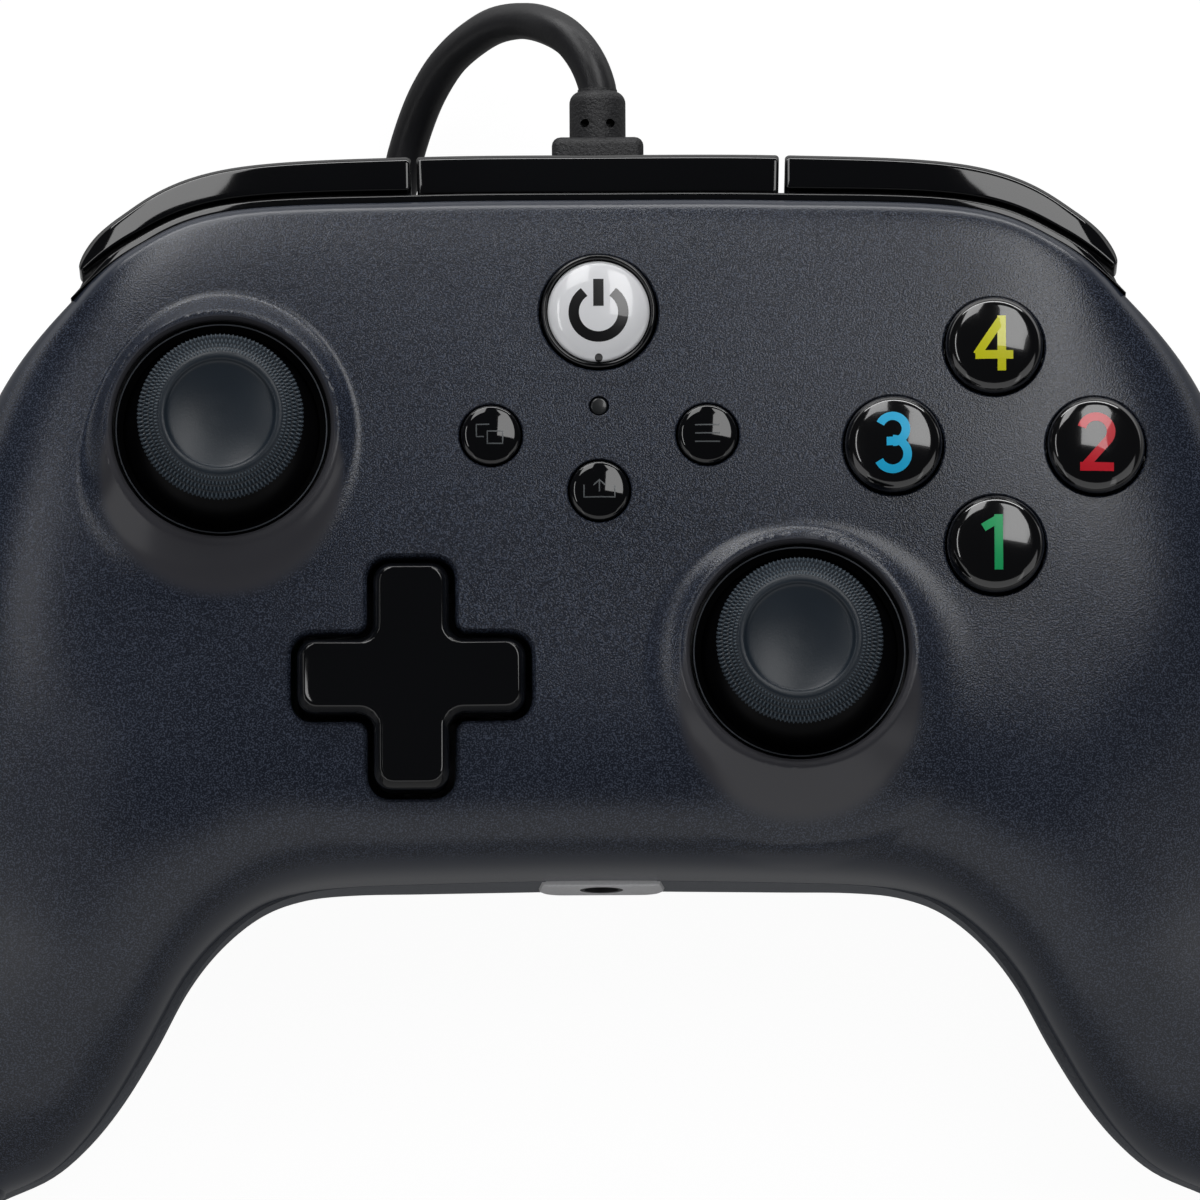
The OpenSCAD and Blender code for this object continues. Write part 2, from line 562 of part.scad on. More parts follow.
module button_membrane() color("#8d8f94") difference() {
  union() {
    slab(face_x - 15, face_x + 15, face_y - 9, face_y + 10.6, board_z, dome_low);
    slab(face_x - 6, face_x + 6, face_y - 15, face_y - 8, board_z, dome_low);
    slab(-15, face_x - 14, 14, 26, board_z, dome_low);
    slab(-6, 6, 11, 38.6, board_z, dome_low);
    for (b = rounds) rubber_dome(b[0], b[2] * 0.65);
  }
  place([0, light_y], board_z - 1) cylinder(r = light_d / 2 + 0.3, h = 3);
}

// Cross pad: sloped cross on a two-axis spider, with posts down to its membrane.
module cross_pad() color("#0f0f11") difference() {
  union() {
    cross_slab(pad_w, arm_w, 1.6, 1.2, pad_z + 3, face_z + 0.4);
    cross_slab(pad_w - 0.7, arm_w - 0.7, 1.4, 1.2, face_z + 0.4, face_z + 1.2);
    cross_slab(pad_w - 1.4, arm_w - 1.4, 1.2, 1.2, face_z + 1.2, face_z + 1.7);
    place(pad) {
      for (s = [-1, 1]) slab(-1.9, 1.9, s * 3.7 - 0.9, s * 3.7 + 0.9, pad_z - 1.9, pad_z + 3);
      for (k = [0:3]) rotate(90 * k) slab(7.4, 9.6, -1.3, 1.3, board_z + 4.3, pad_z + 3);
    }
  }
  place(pad, pad_z) ahead(1 + run_gap, -5, 5);
  place(pad, face_z + 10.6) sphere(r = 10, $fn = 96);
}
module pad_spider() color("#c5c8cc") place(pad, pad_z) union() {
  across(1, -6.4, 6.4);
  ahead(1, -4.6, 4.6);
}
module pad_carrier() color("#3a3c40") place(pad) difference() {
  union() {
    for (s = [-1, 1]) slab(s * 5.5 - 0.9, s * 5.5 + 0.9, -2, 2, board_z, pad_z + 1.8);
    slab(-6.4, 6.4, -2, 2, board_z, board_z + 1.4);
  }
  translate([0, 0, pad_z]) across(1 + run_gap, -8, 8);
}
module pad_membrane() color("#8d8f94") place(pad) difference() {
  union() {
    slab(-11, 11, -11, 11, board_z, dome_low);
    for (k = [0:3]) rotate(90 * k) translate([8.3, 0, dome_low - 0.1]) cylinder(r1 = 2.4, r2 = 1.8, h = 2);
  }
  slab(-6.7, 6.7, -2.3, 2.3, board_z - 1, board_z + 2);
}

// Stick: base on the board, sliding carrier, inner yoke, sensor yoke, shaft, dome and thumb cap.
module stick_rings() color("#08080a") for (p = sticks) place(p) rotate_extrude($fn = 96) polygon([
  [stick_hole_r - 1.1, rim_z - 2.2], [stick_hole_r - 0.3, rim_z - 1.1], [stick_hole_r - 0.3, seat_z - 0.15],
  [ring_r, seat_z - 0.15], [ring_r, seat_z - 2.5], [ring_r - 1, seat_z - 1.55],
  [stick_hole_r - 0.6, seat_z - 0.08]]);
module stick_base(p) place(p) difference() {
  slab(-8, 8, -8, 8, board_z, pivot_z + 3.2);
  slab(-7, 7, -7, 7, board_z + 1, pivot_z + 4);
  translate([0, 0, pivot_z]) ahead(trunnion_r + run_gap, -9, 9);
  for (z = [0, click]) translate([0, 0, pivot_z - z]) across(trunnion_r + run_gap, -9, 9);
  slab(-9, 9, -trunnion_r - run_gap, trunnion_r + run_gap, pivot_z - click, pivot_z);
}
module stick_carrier(p) place(p) difference() {
  translate([0, 0, board_z + 2.4]) cylinder(r = 5, h = 0.8);
  translate([0, 0, board_z]) cylinder(r = 1.2, h = 5);
}
module stick_spring(p) place(p, board_z + 1.3) tube(helix(4.2, 0.8, 2, 12, 1.8), 0.25, 6);
module yoke(inner, outer, half, slot, slot_x) difference() {
  union() {
    difference() {
      ahead(outer, -half, half);
      ahead(inner, -half - 1, half + 1);
      slab(-9, 9, -9, 9, -9, 0);
    }
    for (s = [-1, 1]) across(trunnion_r, s > 0 ? inner : -7.95, s > 0 ? 7.95 : -inner);
  }
  slab(-slot_x, slot_x, -slot, slot, 1.2, 9);
}
module stick_yoke(p) place(p, pivot_z) yoke(3, 4.2, 2.6, shaft_r + 0.1, 3.4);
module stick_sensor_yoke(p) place(p, pivot_z) rotate(90) yoke(5.2, 6.3, 2.8, shaft_r + 0.35, 4.7);
module stick_shaft(p) place(p, pivot_z) union() {
  translate([0, 0, -2]) cylinder(r = shaft_r, h = cap_top - 1.8);
  sphere(r = 2.3);
}
module stick_dome(p) place(p, pivot_z) difference() {
  sphere(r = dome_r, $fn = 96);
  sphere(r = dome_r - dome_wall, $fn = 96);
  cylinder(r = 3.4, h = 20);
  slab(-20, 20, -20, 20, -20, dome_r * cos(75));
}
module stick_cap(p) place(p, pivot_z) rotate_extrude($fn = 96) polygon([
  [shaft_r + 0.03, cap_top - 11], [3.2, cap_top - 11], [3.2, cap_top - 5.2], [cap_d / 2 - 0.5, cap_top - 3.4],
  [cap_d / 2, cap_top - 2.9], [cap_d / 2, cap_top - 1.9], [6.4, cap_top - 0.2], [6, cap_top],
  [5.6, cap_top - 0.1], [4, cap_top - 0.8], [2, cap_top - 1.2], [0, cap_top - 1.3], [0, cap_top - 3.75],
  [shaft_r + 0.03, cap_top - 3.75]]);
module left_stick_base() color("#9aa0a6") stick_base(sticks[0]);
module left_stick_carrier() color("#2b2d30") stick_carrier(sticks[0]);
module left_stick_spring() color("#c5c8cc") stick_spring(sticks[0]);
module left_stick_yoke() color("#d8d8d4") stick_yoke(sticks[0]);
module left_stick_sensor_yoke() color("#d8d8d4") stick_sensor_yoke(sticks[0]);
module left_stick_shaft() color("#1c1d20") stick_shaft(sticks[0]);
module left_stick_dome() color("#0b0b0d") stick_dome(sticks[0]);
module left_stick_cap() color("#33373d") stick_cap(sticks[0]);
module right_stick_base() color("#9aa0a6") stick_base(sticks[1]);
module right_stick_carrier() color("#2b2d30") stick_carrier(sticks[1]);
module right_stick_spring() color("#c5c8cc") stick_spring(sticks[1]);
module right_stick_yoke() color("#d8d8d4") stick_yoke(sticks[1]);
module right_stick_sensor_yoke() color("#d8d8d4") stick_sensor_yoke(sticks[1]);
module right_stick_shaft() color("#1c1d20") stick_shaft(sticks[1]);
module right_stick_dome() color("#0b0b0d") stick_dome(sticks[1]);
module right_stick_cap() color("#33373d") stick_cap(sticks[1]);
module stick_sensors() color("#1f6f4a") for (p = sticks) place(p) {
  slab(-10.4, -8.1, -4.4, 4.4, board_z, pivot_z + 1);
  slab(-4.4, 4.4, -10.4, -8.1, board_z, pivot_z + 1);
}

// Board, switches and headset socket.
socket_w = 9;
socket_y = -18.4;
socket_l = jack_depth + 2;
board = [[27, 41], [29, 31], [47, 31], [47.5, 23], [52, 20], [52, -2], [44, -7], [36, -17], [8, -17.4]];
module main_board() color("#14502f")
  translate([0, 0, board_z - board_t]) linear_extrude(board_t) difference() {
    polygon(concat(board, [for (k = [len(board) - 1:-1:0]) [-board[k][0], board[k][1]]]));
    for (p = posts) translate(p[0]) circle(r = post_r + 0.4);
    translate([-socket_w / 2 - 0.3, socket_y - 0.3]) square([socket_w + 0.6, socket_l + 0.6]);
  }
module switches() color("#17181a") union() {
  both() {
    slab(pull_x - 3, pull_x + 3, 36.6, 39.6, 31, 37.4);
    translate([pull_x, 0, bumper_low + 3]) ahead(1, 39, 41.6);
  }
  for (p = sticks) place(p) slab(8.1, 10.4, -2, 2, board_z, board_z + 4);
}
module headset_socket() color("#1a1a1c") translate([0, 0, jack_z]) difference() {
  union() {
    slab(-socket_w / 2, socket_w / 2, socket_y + 2.8, socket_y + socket_l, -3, 3);
    ahead(3, socket_y, socket_y + 3.4);
  }
  ahead(jack_r, socket_y - 1, socket_y + jack_depth);
}

// Rumble motors with off-centre weights on their shafts.
module right_motor() color("#aab0b6")
  translate([motor_x, motor_y, motor_z]) cylinder(r = motor_r, h = motor_h);
module left_motor() mirror([1, 0, 0]) right_motor();
module right_weight() color("#8a8d92") translate([motor_x, motor_y, 0]) union() {
  translate([0, 0, 10.6]) intersection() {
    cylinder(r = weight_r, h = 4.4);
    translate([-10, -1.6, -1]) cube([20, 20, 8]);
  }
  translate([0, 0, 10.6]) cylinder(r = 1, h = motor_z - 10.6);
}
module left_weight() mirror([1, 0, 0]) right_weight();

// One kind of screw for all five posts.
module shell_screws() color("#6f747a") for (p = posts) place(p[0], p[1] - head_up) difference() {
  union() {
    translate([0, 0, -1.8]) cylinder(r = screw_head_r, h = 1.8);
    translate([0, 0, -0.1]) cylinder(r = screw_r, h = head_up + 6.6);
  }
  translate([0, 0, -2.4]) linear_extrude(1.6) for (a = [0, 90]) rotate(a) square([3, 0.7], center = true);
}

// Cord: strain relief, free lengths, a tied coil and the plug.
module strain_relief() color("#121214") difference() {
  union() {
    translate([0, 0, cord_z]) ahead(3.6, 42, back_y + 0.3);
    slab(-4.65, 4.65, back_y + 0.15, block_end, cord_z - 3.7, cord_z + 3.7);
    translate([0, 0, cord_z]) ahead(neck_r, block_end - 0.2, neck_end);
    slab(-4.65, 4.65, 40.2, 42.1, cord_z - 4.2, cord_z + 3);
  }
  for (x = [-1.3, 1.3]) translate([x, 56.4, cord_z + 1]) cylinder(r = 0.45, h = 4);
}
coil_out = coil_in + coil_pitch * coil_turns;
coil_z = tie_t + cord_d / 2;
coil_x = -122;
lead_y = 21;
coil_y = lead_y - coil_out;
low = cord_d / 2;
lead = [[0, neck_end, cord_z], [-1, 63.2, 23.6], [-2.7, 65.7, 22.5], [-4.9, 67.4, 20.6], [-7.4, 68.4, 18.2],
  [-10.3, 68.4, 15.6], [-12.9, 67.3, 13], [-15.1, 65.7, 10.4], [-16.8, 63.6, 8], [-18.2, 61, 5.8],
  [-19.6, 57.1, 3.6], [-21, 51.5, low + 0.3], [-24, 45, low], [-30, 39, low], [-38, 34.5, low],
  [-48, 30.5, low], [-60, 26.5, low], [-72, 23.5, low], [-84, 21.8, low], [-98, lead_y, low + 0.2],
  [-110, lead_y, coil_z], [coil_x + cord_d, lead_y, coil_z]];
layers = 4;
per_turn = 24;
function ease(t) = t <= 0 ? 0 : t >= 1 ? 1 : t * t * (3 - 2 * t);
function coil_at(t) =
  let (
    q = t / coil_turns,
    k = min(floor(q), layers - 1),
    f = q - k,
    r = k % 2 == 0 ? coil_out - (coil_out - coil_in) * f : coil_in + (coil_out - coil_in) * f,
    h = 0.25 / coil_turns,
    up = k + (k < layers - 1 ? ease((f - 1 + h) / (2 * h)) : 0) - (k > 0 ? 1 - ease((f + h) / (2 * h)) : 0),
    a = 90 + 360 * t
  ) [coil_x + r * cos(a), coil_y + r * sin(a), coil_z + up * coil_pitch];
coil_n = layers * coil_turns * per_turn;
coil_path = [for (i = [0:coil_n]) coil_at(i / per_turn)];
coil_end = coil_path[coil_n] - [cord_d, 0, 0];
plug_x = -168;
plug_y = -18;
plug_z = 4.1;
tail = [coil_end, coil_end + [-8, -0.6, -0.5], coil_end + [-22, -4.5, -3.4], [-155, 10.5, 8.6],
  [-164, 2, 5.6], [-167.4, -9, plug_z], [plug_x, plug_y, plug_z]];
module cord() color("#161618") {
  tube(smooth(lead, 2), cord_d / 2, 8);
  tube(smooth(tail, 2), cord_d / 2, 8);
}
module cord_coil() color("#161618") {
  apart = [for (i = [0:2:coil_n], j = [i + per_turn / 2:1:coil_n]) norm(coil_path[i] - coil_path[j])];
  echo(least_gap_in_coil = min(apart) - cord_d);
  tube(concat([coil_path[0] + [cord_d, 0, 0]], coil_path, [coil_end]), cord_d / 2, 6);
}
tie_in = coil_in - cord_d / 2 - 1;
tie_out = coil_out + cord_d / 2 + 0.2;
tie_h = coil_z + (layers - 1) * coil_pitch + cord_d / 2 + 0.2;
module cord_tie() color("#2a2a2c") translate([coil_x, coil_y, 0]) rotate(250) difference() {
  slab(tie_in - tie_t, tie_out + tie_t, -3.5, 3.5, 0, tie_h + tie_t);
  slab(tie_in, tie_out, -4, 4, tie_t, tie_h);
}
module plug_body() color("#17171a") translate([plug_x, plug_y, plug_z]) slab(-8, 8, -24, 0, -4.1, 4.1);
module plug_shell() color("#c9ccd0") translate([plug_x, plug_y - 24, plug_z]) {
  difference() {
    slab(-plug_w / 2, plug_w / 2, -12, 0, -plug_h / 2, plug_h / 2);
    slab(-plug_w / 2 + 0.35, plug_w / 2 - 0.35, -13, -0.3, -plug_h / 2 + 0.35, plug_h / 2 - 0.35);
  }
  slab(-plug_w / 2 + 0.5, plug_w / 2 - 0.5, -11.4, -0.1, -plug_h / 2 + 0.1, -plug_h / 2 + 1.9);
}

front_shell();
back_shell();
top_trim();
bumper_bridge();
left_bumper();
right_bumper();
bumper_pins();
left_trigger();
right_trigger();
trigger_brackets();
trigger_pins();
left_trigger_spring();
right_trigger_spring();
button_north();
button_south();
button_east();
button_west();
home_button();
view_button();
menu_button();
share_button();
status_light();
button_membrane();
cross_pad();
pad_spider();
pad_carrier();
pad_membrane();
stick_rings();
left_stick_base();
left_stick_carrier();
left_stick_spring();
left_stick_yoke();
left_stick_sensor_yoke();
left_stick_shaft();
left_stick_dome();
left_stick_cap();
right_stick_base();
right_stick_carrier();
right_stick_spring();
right_stick_yoke();
right_stick_sensor_yoke();
right_stick_shaft();
right_stick_dome();
right_stick_cap();
stick_sensors();
main_board();
switches();
headset_socket();
left_motor();
right_motor();
left_weight();
right_weight();
shell_screws();
strain_relief();
cord();
cord_coil();
cord_tie();
plug_body();
plug_shell();
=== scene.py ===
import math

import bpy
import numpy as np
from mathutils import Matrix, Vector
from mathutils.bvhtree import BVHTree


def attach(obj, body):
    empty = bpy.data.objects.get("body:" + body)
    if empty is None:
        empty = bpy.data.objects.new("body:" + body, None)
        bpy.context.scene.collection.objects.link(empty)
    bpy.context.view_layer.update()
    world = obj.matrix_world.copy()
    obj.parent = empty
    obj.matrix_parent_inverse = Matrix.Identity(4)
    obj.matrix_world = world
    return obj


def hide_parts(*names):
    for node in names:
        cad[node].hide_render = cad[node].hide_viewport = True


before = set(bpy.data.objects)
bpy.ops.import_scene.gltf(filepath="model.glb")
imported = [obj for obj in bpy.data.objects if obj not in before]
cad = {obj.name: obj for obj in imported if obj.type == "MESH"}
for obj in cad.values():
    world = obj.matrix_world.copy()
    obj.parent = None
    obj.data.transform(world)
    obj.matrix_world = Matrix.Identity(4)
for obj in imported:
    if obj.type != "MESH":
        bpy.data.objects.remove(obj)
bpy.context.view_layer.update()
MM = 0.001


# The camera looks down on the face from a little in front of the player's edge, through a lens so
# long that the near and the far edge keep almost the same scale. The picture is 120.6 mm across.
aim = Vector((0, 4.35, 46.5)) * MM
eye_distance = 3000 * MM
eye_tilt = math.radians(8.8)
eye_roll = math.radians(-0.3)
picture_width = 120.6 * MM
eye_data = bpy.data.cameras.new("eye")
eye_data.sensor_width = 36
eye_data.lens = eye_data.sensor_width * eye_distance / picture_width
eye = bpy.data.objects.new("eye", eye_data)
eye_turn = Matrix.Rotation(eye_tilt, 3, "X") @ Matrix.Rotation(eye_roll, 3, "Z")
eye.location = aim + eye_turn @ Vector((0, 0, eye_distance))
eye.rotation_euler = eye_turn.to_euler()
bpy.context.collection.objects.link(eye)
bpy.context.scene.camera = eye
bpy.context.scene.view_settings.view_transform = "Standard"


# Studio: a white table that keeps a faint shadow, a dim room, and softboxes over both shoulders,
# behind the bumpers and low in front and at both sides, as their reflections on gloss pieces show.
class Wire:
    """One socket of a node tree. Arithmetic on it adds Math nodes; node() adds any other node."""

    def __init__(self, tree, socket=None):
        self.tree = tree
        self.socket = socket

    def node(self, kind, settings, inputs, output=0):
        made = self.tree.nodes.new(kind)
        for name, value in settings.items():
            setattr(made, name, value)
        for name, value in inputs.items():
            if isinstance(value, Wire):
                self.tree.links.new(value.socket, made.inputs[name])
            else:
                made.inputs[name].default_value = value
        return Wire(self.tree, made.outputs[output])

    def maths(self, operation, a, b=0.0, clamp=False):
        return self.node("ShaderNodeMath", {"operation": operation, "use_clamp": clamp}, {0: a, 1: b})

    def __add__(self, other):
        return self.maths("ADD", self, other)

    def __sub__(self, other):
        return self.maths("SUBTRACT", self, other)

    def __rsub__(self, other):
        return self.maths("SUBTRACT", other, self)

    def __mul__(self, other):
        return self.maths("MULTIPLY", self, other)

    def __pow__(self, other):
        return self.maths("POWER", self, other)

    def __rpow__(self, other):
        return self.maths("POWER", other, self)

    __radd__ = __add__
    __rmul__ = __mul__

    def clamped(self):
        return self.maths("ADD", self, 0.0, clamp=True)

    def mix(self, low, high):
        """Colour that goes from low to high as this value goes from 0 to 1."""
        return self.node("ShaderNodeMix", {"data_type": "RGBA"}, {0: self, 6: low, 7: high}, 2)

    def noise(self, scale, detail=2.0, rough=0.5):
        """Noise of that many cells a metre, on this wire's coordinates."""
        return self.node("ShaderNodeTexNoise", {},
                         {"Vector": self, "Scale": scale, "Detail": detail, "Roughness": rough})

    def bump(self, depth, strength=1.0):
        """A normal with this value as relief, that deep in metres."""
        return self.node("ShaderNodeBump", {}, {"Height": self, "Distance": depth, "Strength": strength})


def linear(shade):
    """A hex screen colour as the linear colour that the shader takes."""
    parts = [int(shade[k:k + 2], 16) / 255 for k in (1, 3, 5)]
    return tuple(p / 12.92 if p <= 0.04045 else ((p + 0.055) / 1.055) ** 2.4 for p in parts) + (1.0,)


table_size = 4.0
table_drop = 0.0002
white_from = 0.07
white_run = 15
front_share = 0.15
bpy.ops.object.select_all(action="DESELECT")
bpy.ops.mesh.primitive_plane_add(size=table_size, location=(0, 0, -table_drop))
table = bpy.context.object
table.name = "table"
table_paper = bpy.data.materials.new("table_paper")
table_paper.use_nodes = True
paper = Wire(table_paper.node_tree)
table_place = paper.node("ShaderNodeTexCoord", {}, {}, "Object")
table_y = paper.node("ShaderNodeSeparateXYZ", {}, {0: table_place}, "Y")
# In reflections the table glows white only behind the body and keeps front_share of that glow nearer in:
# painted shade on its near half.
behind = ((table_y - white_from) * white_run).clamped()
by_eye, by_gloss, by_glass = (paper.node("ShaderNodeLightPath", {}, {}, f"Is {kind} Ray")
                              for kind in ("Camera", "Glossy", "Transmission"))
seen = (by_eye + by_gloss * (behind * (1 - front_share) + front_share) + by_glass).clamped()
plain = paper.node("ShaderNodeBsdfDiffuse", {}, {"Color": (0.15, 0.15, 0.15, 1)})
shadowed = paper.node("ShaderNodeBsdfDiffuse", {}, {"Color": (0.1, 0.1, 0.1, 1)})
glow = paper.node("ShaderNodeEmission", {}, {"Color": (1, 1, 1, 1), "Strength": 0.95})
white = paper.node("ShaderNodeAddShader", {}, {0: shadowed, 1: glow})
either = paper.node("ShaderNodeMixShader", {}, {0: seen, 1: plain, 2: white})
table_out = table_paper.node_tree.nodes["Material Output"]
table_paper.node_tree.links.new(either.socket, table_out.inputs["Surface"])
table.data.materials.append(table_paper)

room = bpy.data.worlds.new("room")
room.use_nodes = True
room.node_tree.nodes["Background"].inputs["Color"].default_value = (0.035, 0.036, 0.04, 1)
bpy.context.scene.world = room


def softbox(name, toward, distance, width, height, glow_level):
    """A rectangular lamp in that direction from the face, turned to it; glow_level is its brightness."""
    lamp = bpy.data.lights.new(name, "AREA")
    lamp.shape = "RECTANGLE"
    lamp.size = width
    lamp.size_y = height
    lamp.energy = glow_level * math.pi * width * height
    box = bpy.data.objects.new(name, lamp)
    way = Vector(toward).normalized()
    box.location = aim + way * distance
    tall = Vector((0, -way.z, way.y)).normalized()
    box.rotation_euler = Matrix((tall.cross(way), tall, way)).transposed().to_euler()
    bpy.context.collection.objects.link(box)


softbox("key", (0.31, 0.5, 0.81), 0.75, 0.27, 0.64, 3.6)
softbox("left_key", (-0.31, 0.775, 0.55), 0.75, 0.27, 0.54, 3.5)
softbox("left_strip", (-0.62, 0.13, 0.77), 0.75, 0.06, 0.4, 5.0)
softbox("back", (0.0, 0.98, 0.17), 0.9, 1.3, 0.1, 8.0)
softbox("front", (0.0, -0.9, 0.42), 0.9, 1.6, 0.8, 0.6)
softbox("front_left", (-0.8, -0.45, 0.4), 0.9, 0.6, 0.6, 0.75)
softbox("front_right", (0.8, -0.45, 0.4), 0.9, 0.6, 0.6, 0.75)


# Cord: a round black jacketed lead that leaves the relief, drops to the table in one loop, passes
# under the body and ends in a flat plug; the length not in use is coiled and tied at the left.
cord_d = 3.8
cord_z = 24
neck_end = 60.4
coil_turns = 4.75
coil_layers = 4
coil_pitch = 4.4
coil_in = 12.5
coil_out = coil_in + coil_pitch * coil_turns
coil_low = 0.6 + cord_d / 2
coil_x = -122
lead_y = 21
coil_y = lead_y - coil_out
table_z = cord_d / 2
plug_x = -168
plug_y = -18
plug_z = 4.1
sunk_in = 2
lead = [(0, neck_end - sunk_in, cord_z), (0, neck_end, cord_z), (-1, 63.2, 23.6),
        (-2.7, 65.7, 22.5), (-4.9, 67.4, 20.6), (-7.4, 68.4, 18.2), (-10.3, 68.4, 15.6),
        (-12.9, 67.3, 13), (-15.1, 65.7, 10.4), (-16.8, 63.6, 8), (-18.2, 61, 5.8), (-19.6, 57.1, 3.6),
        (-21, 51.5, table_z + 0.3), (-24, 45, table_z), (-30, 39, table_z), (-38, 34.5, table_z),
        (-48, 30.5, table_z), (-60, 26.5, table_z), (-72, 23.5, table_z),
        (-84, 21.8, table_z), (-98, lead_y, table_z + 0.2), (-110, lead_y, coil_low),
        (coil_x + cord_d, lead_y, coil_low)]


def smooth_line(points, fine):
    """A smooth curve through the points, with that many steps from each to the next."""
    pts = np.array([points[0]] + list(points) + [points[-1]], float)
    line = []
    for a, b, c, d in zip(pts, pts[1:], pts[2:], pts[3:]):
        for t in np.arange(fine) / fine:
            line.append((2 * b + (c - a) * t + (2 * a - 5 * b + 4 * c - d) * t ** 2
                         + (3 * b - a - 3 * c + d) * t ** 3) / 2)
    return np.array(line + [pts[-1]])


def ease(t):
    t = min(max(t, 0.0), 1.0)
    return t * t * (3 - 2 * t)


def coil_point(turn):
    """The coil spirals in and out again, and climbs a layer in the half turn where it reverses."""
    layer = min(int(turn / coil_turns), coil_layers - 1)
    part = turn / coil_turns - layer
    reach = (coil_out - coil_in) * part
    radius = coil_out - reach if layer % 2 == 0 else coil_in + reach
    half = 0.25 / coil_turns
    up = layer
    if layer < coil_layers - 1:
        up += ease((part - 1 + half) / (2 * half))
    if layer > 0:
        up -= 1 - ease((part + half) / (2 * half))
    turned_by = math.radians(90 + 360 * turn)
    return (coil_x + radius * math.cos(turned_by), coil_y + radius * math.sin(turned_by),
            coil_low + up * coil_pitch)


steps_a_turn = 48
coil_steps = int(coil_layers * coil_turns * steps_a_turn)
coil_line = [coil_point(k / steps_a_turn) for k in range(coil_steps + 1)]
coil_end = np.array(coil_line[-1]) - (cord_d, 0, 0)
tail = [coil_end, coil_end + (-8, -0.6, -0.5), coil_end + (-22, -4.5, -3.4),
        (-155, 10.5, 8.6), (-164, 2, 5.6), (-167.4, -9, plug_z), (plug_x, plug_y, plug_z)]
cord_line = np.vstack([smooth_line(lead, 6), coil_line, smooth_line(tail, 6)])
cord_curve = bpy.data.curves.new("cord_lead", "CURVE")
cord_curve.dimensions = "3D"
cord_curve.bevel_depth = cord_d / 2 * MM
cord_curve.bevel_resolution = 4
cord_curve.use_fill_caps = True
cord_run = cord_curve.splines.new("POLY")
cord_run.points.add(len(cord_line) - 1)
for point, place in zip(cord_run.points, cord_line * MM):
    point.co = (*place, 1)
cord = bpy.data.objects.new("cord_lead", cord_curve)
bpy.context.collection.objects.link(cord)


def finish(name, **fixed):
    """A new material whose shader has these constant settings, and a wire with its object coordinates."""
    made = bpy.data.materials.new(name)
    made.use_nodes = True
    shader = made.node_tree.nodes["Principled BSDF"]
    for key, value in fixed.items():
        shader.inputs[key.replace("_", " ").title().replace("Ior", "IOR")].default_value = value
    return made, Wire(made.node_tree).node("ShaderNodeTexCoord", {}, {}, "Object")


def feed(material, **wires):
    """Links wires to the shader's sockets."""
    shader = material.node_tree.nodes["Principled BSDF"]
    for key, wire in wires.items():
        material.node_tree.links.new(wire.socket, shader.inputs[key.replace("_", " ").title()])


jacket, spot = finish("cord_jacket")
jacket_wear = spot.noise(220, 4)
feed(jacket, base_color=jacket_wear.mix(linear("#141416"), linear("#232326")),
     roughness=jacket_wear * 0.2 + 0.3, normal=spot.noise(1800, 2).bump(0.00003))
cord_curve.materials.append(jacket)
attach(cord, "housing")
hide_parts("cord", "cord_coil")


# Strain relief: a moulded soft block clamped in the back wall, with a short neck round the cord and
# two small bleed holes, all with the coarse grain of a spark-eroded mould.
back_y = 50.4
block_end = 54.9
neck_r = 2.85


def only(obj):
    """Makes this the one selected and active object."""
    bpy.ops.object.select_all(action="DESELECT")
    obj.select_set(True)
    bpy.context.view_layer.objects.active = obj


def faced_out(obj, merge=0.0):
    """Merges corners closer than that, in metres, and turns every face outwards."""
    only(obj)
    bpy.ops.object.mode_set(mode="EDIT")
    bpy.ops.mesh.select_all(action="SELECT")
    if merge:
        bpy.ops.mesh.remove_doubles(threshold=merge)
    bpy.ops.mesh.normals_make_consistent(inside=False)
    bpy.ops.object.mode_set(mode="OBJECT")
    return obj


def modified(obj, kind, **settings):
    """Adds a modifier with these settings and applies it."""
    change = obj.modifiers.new("change", kind)
    for name, value in settings.items():
        setattr(change, name, value)
    only(obj)
    bpy.ops.object.modifier_apply(modifier="change")
    return obj


def drawn(name, points, edges, faces):
    """A mesh object at the origin from points in millimetres."""
    mesh = bpy.data.meshes.new(name)
    mesh.from_pydata([tuple(p) for p in np.asarray(points, float) * MM], edges, [tuple(f) for f in faces])
    obj = bpy.data.objects.new(name, mesh)
    bpy.context.collection.objects.link(obj)
    return obj


def solid(name, points, faces):
    """A closed mesh with its faces turned outwards."""
    return faced_out(drawn(name, points, [], faces))


def turned(name, profile, place=(0, 0, 0), axis="Z", steps=96):
    """A turned piece: the profile of (radius, height) points is spun round an axis through the place."""
    way = {"Z": lambda r, h: (r, 0, h), "Y": lambda r, h: (r, h, 0)}[axis]
    points = [Vector(place) + Vector(way(r, h)) for r, h in profile]
    obj = drawn(name, points, [(k, k + 1) for k in range(len(points) - 1)], [])
    only(obj)
    bpy.ops.object.mode_set(mode="EDIT")
    bpy.ops.mesh.select_all(action="SELECT")
    bpy.ops.mesh.spin(steps=steps, angle=2 * math.pi, center=Vector(place) * MM,
                      axis=(0, 0, 1) if axis == "Z" else (0, 1, 0))
    bpy.ops.object.mode_set(mode="OBJECT")
    return faced_out(obj, 0.000001)


def arc(centre, radius, start, stop, count):
    """Points on an arc, in degrees, from start to stop."""
    turn = np.radians(np.linspace(start, stop, count))
    return [(centre[0] + radius * math.cos(t), centre[1] + radius * math.sin(t)) for t in turn]


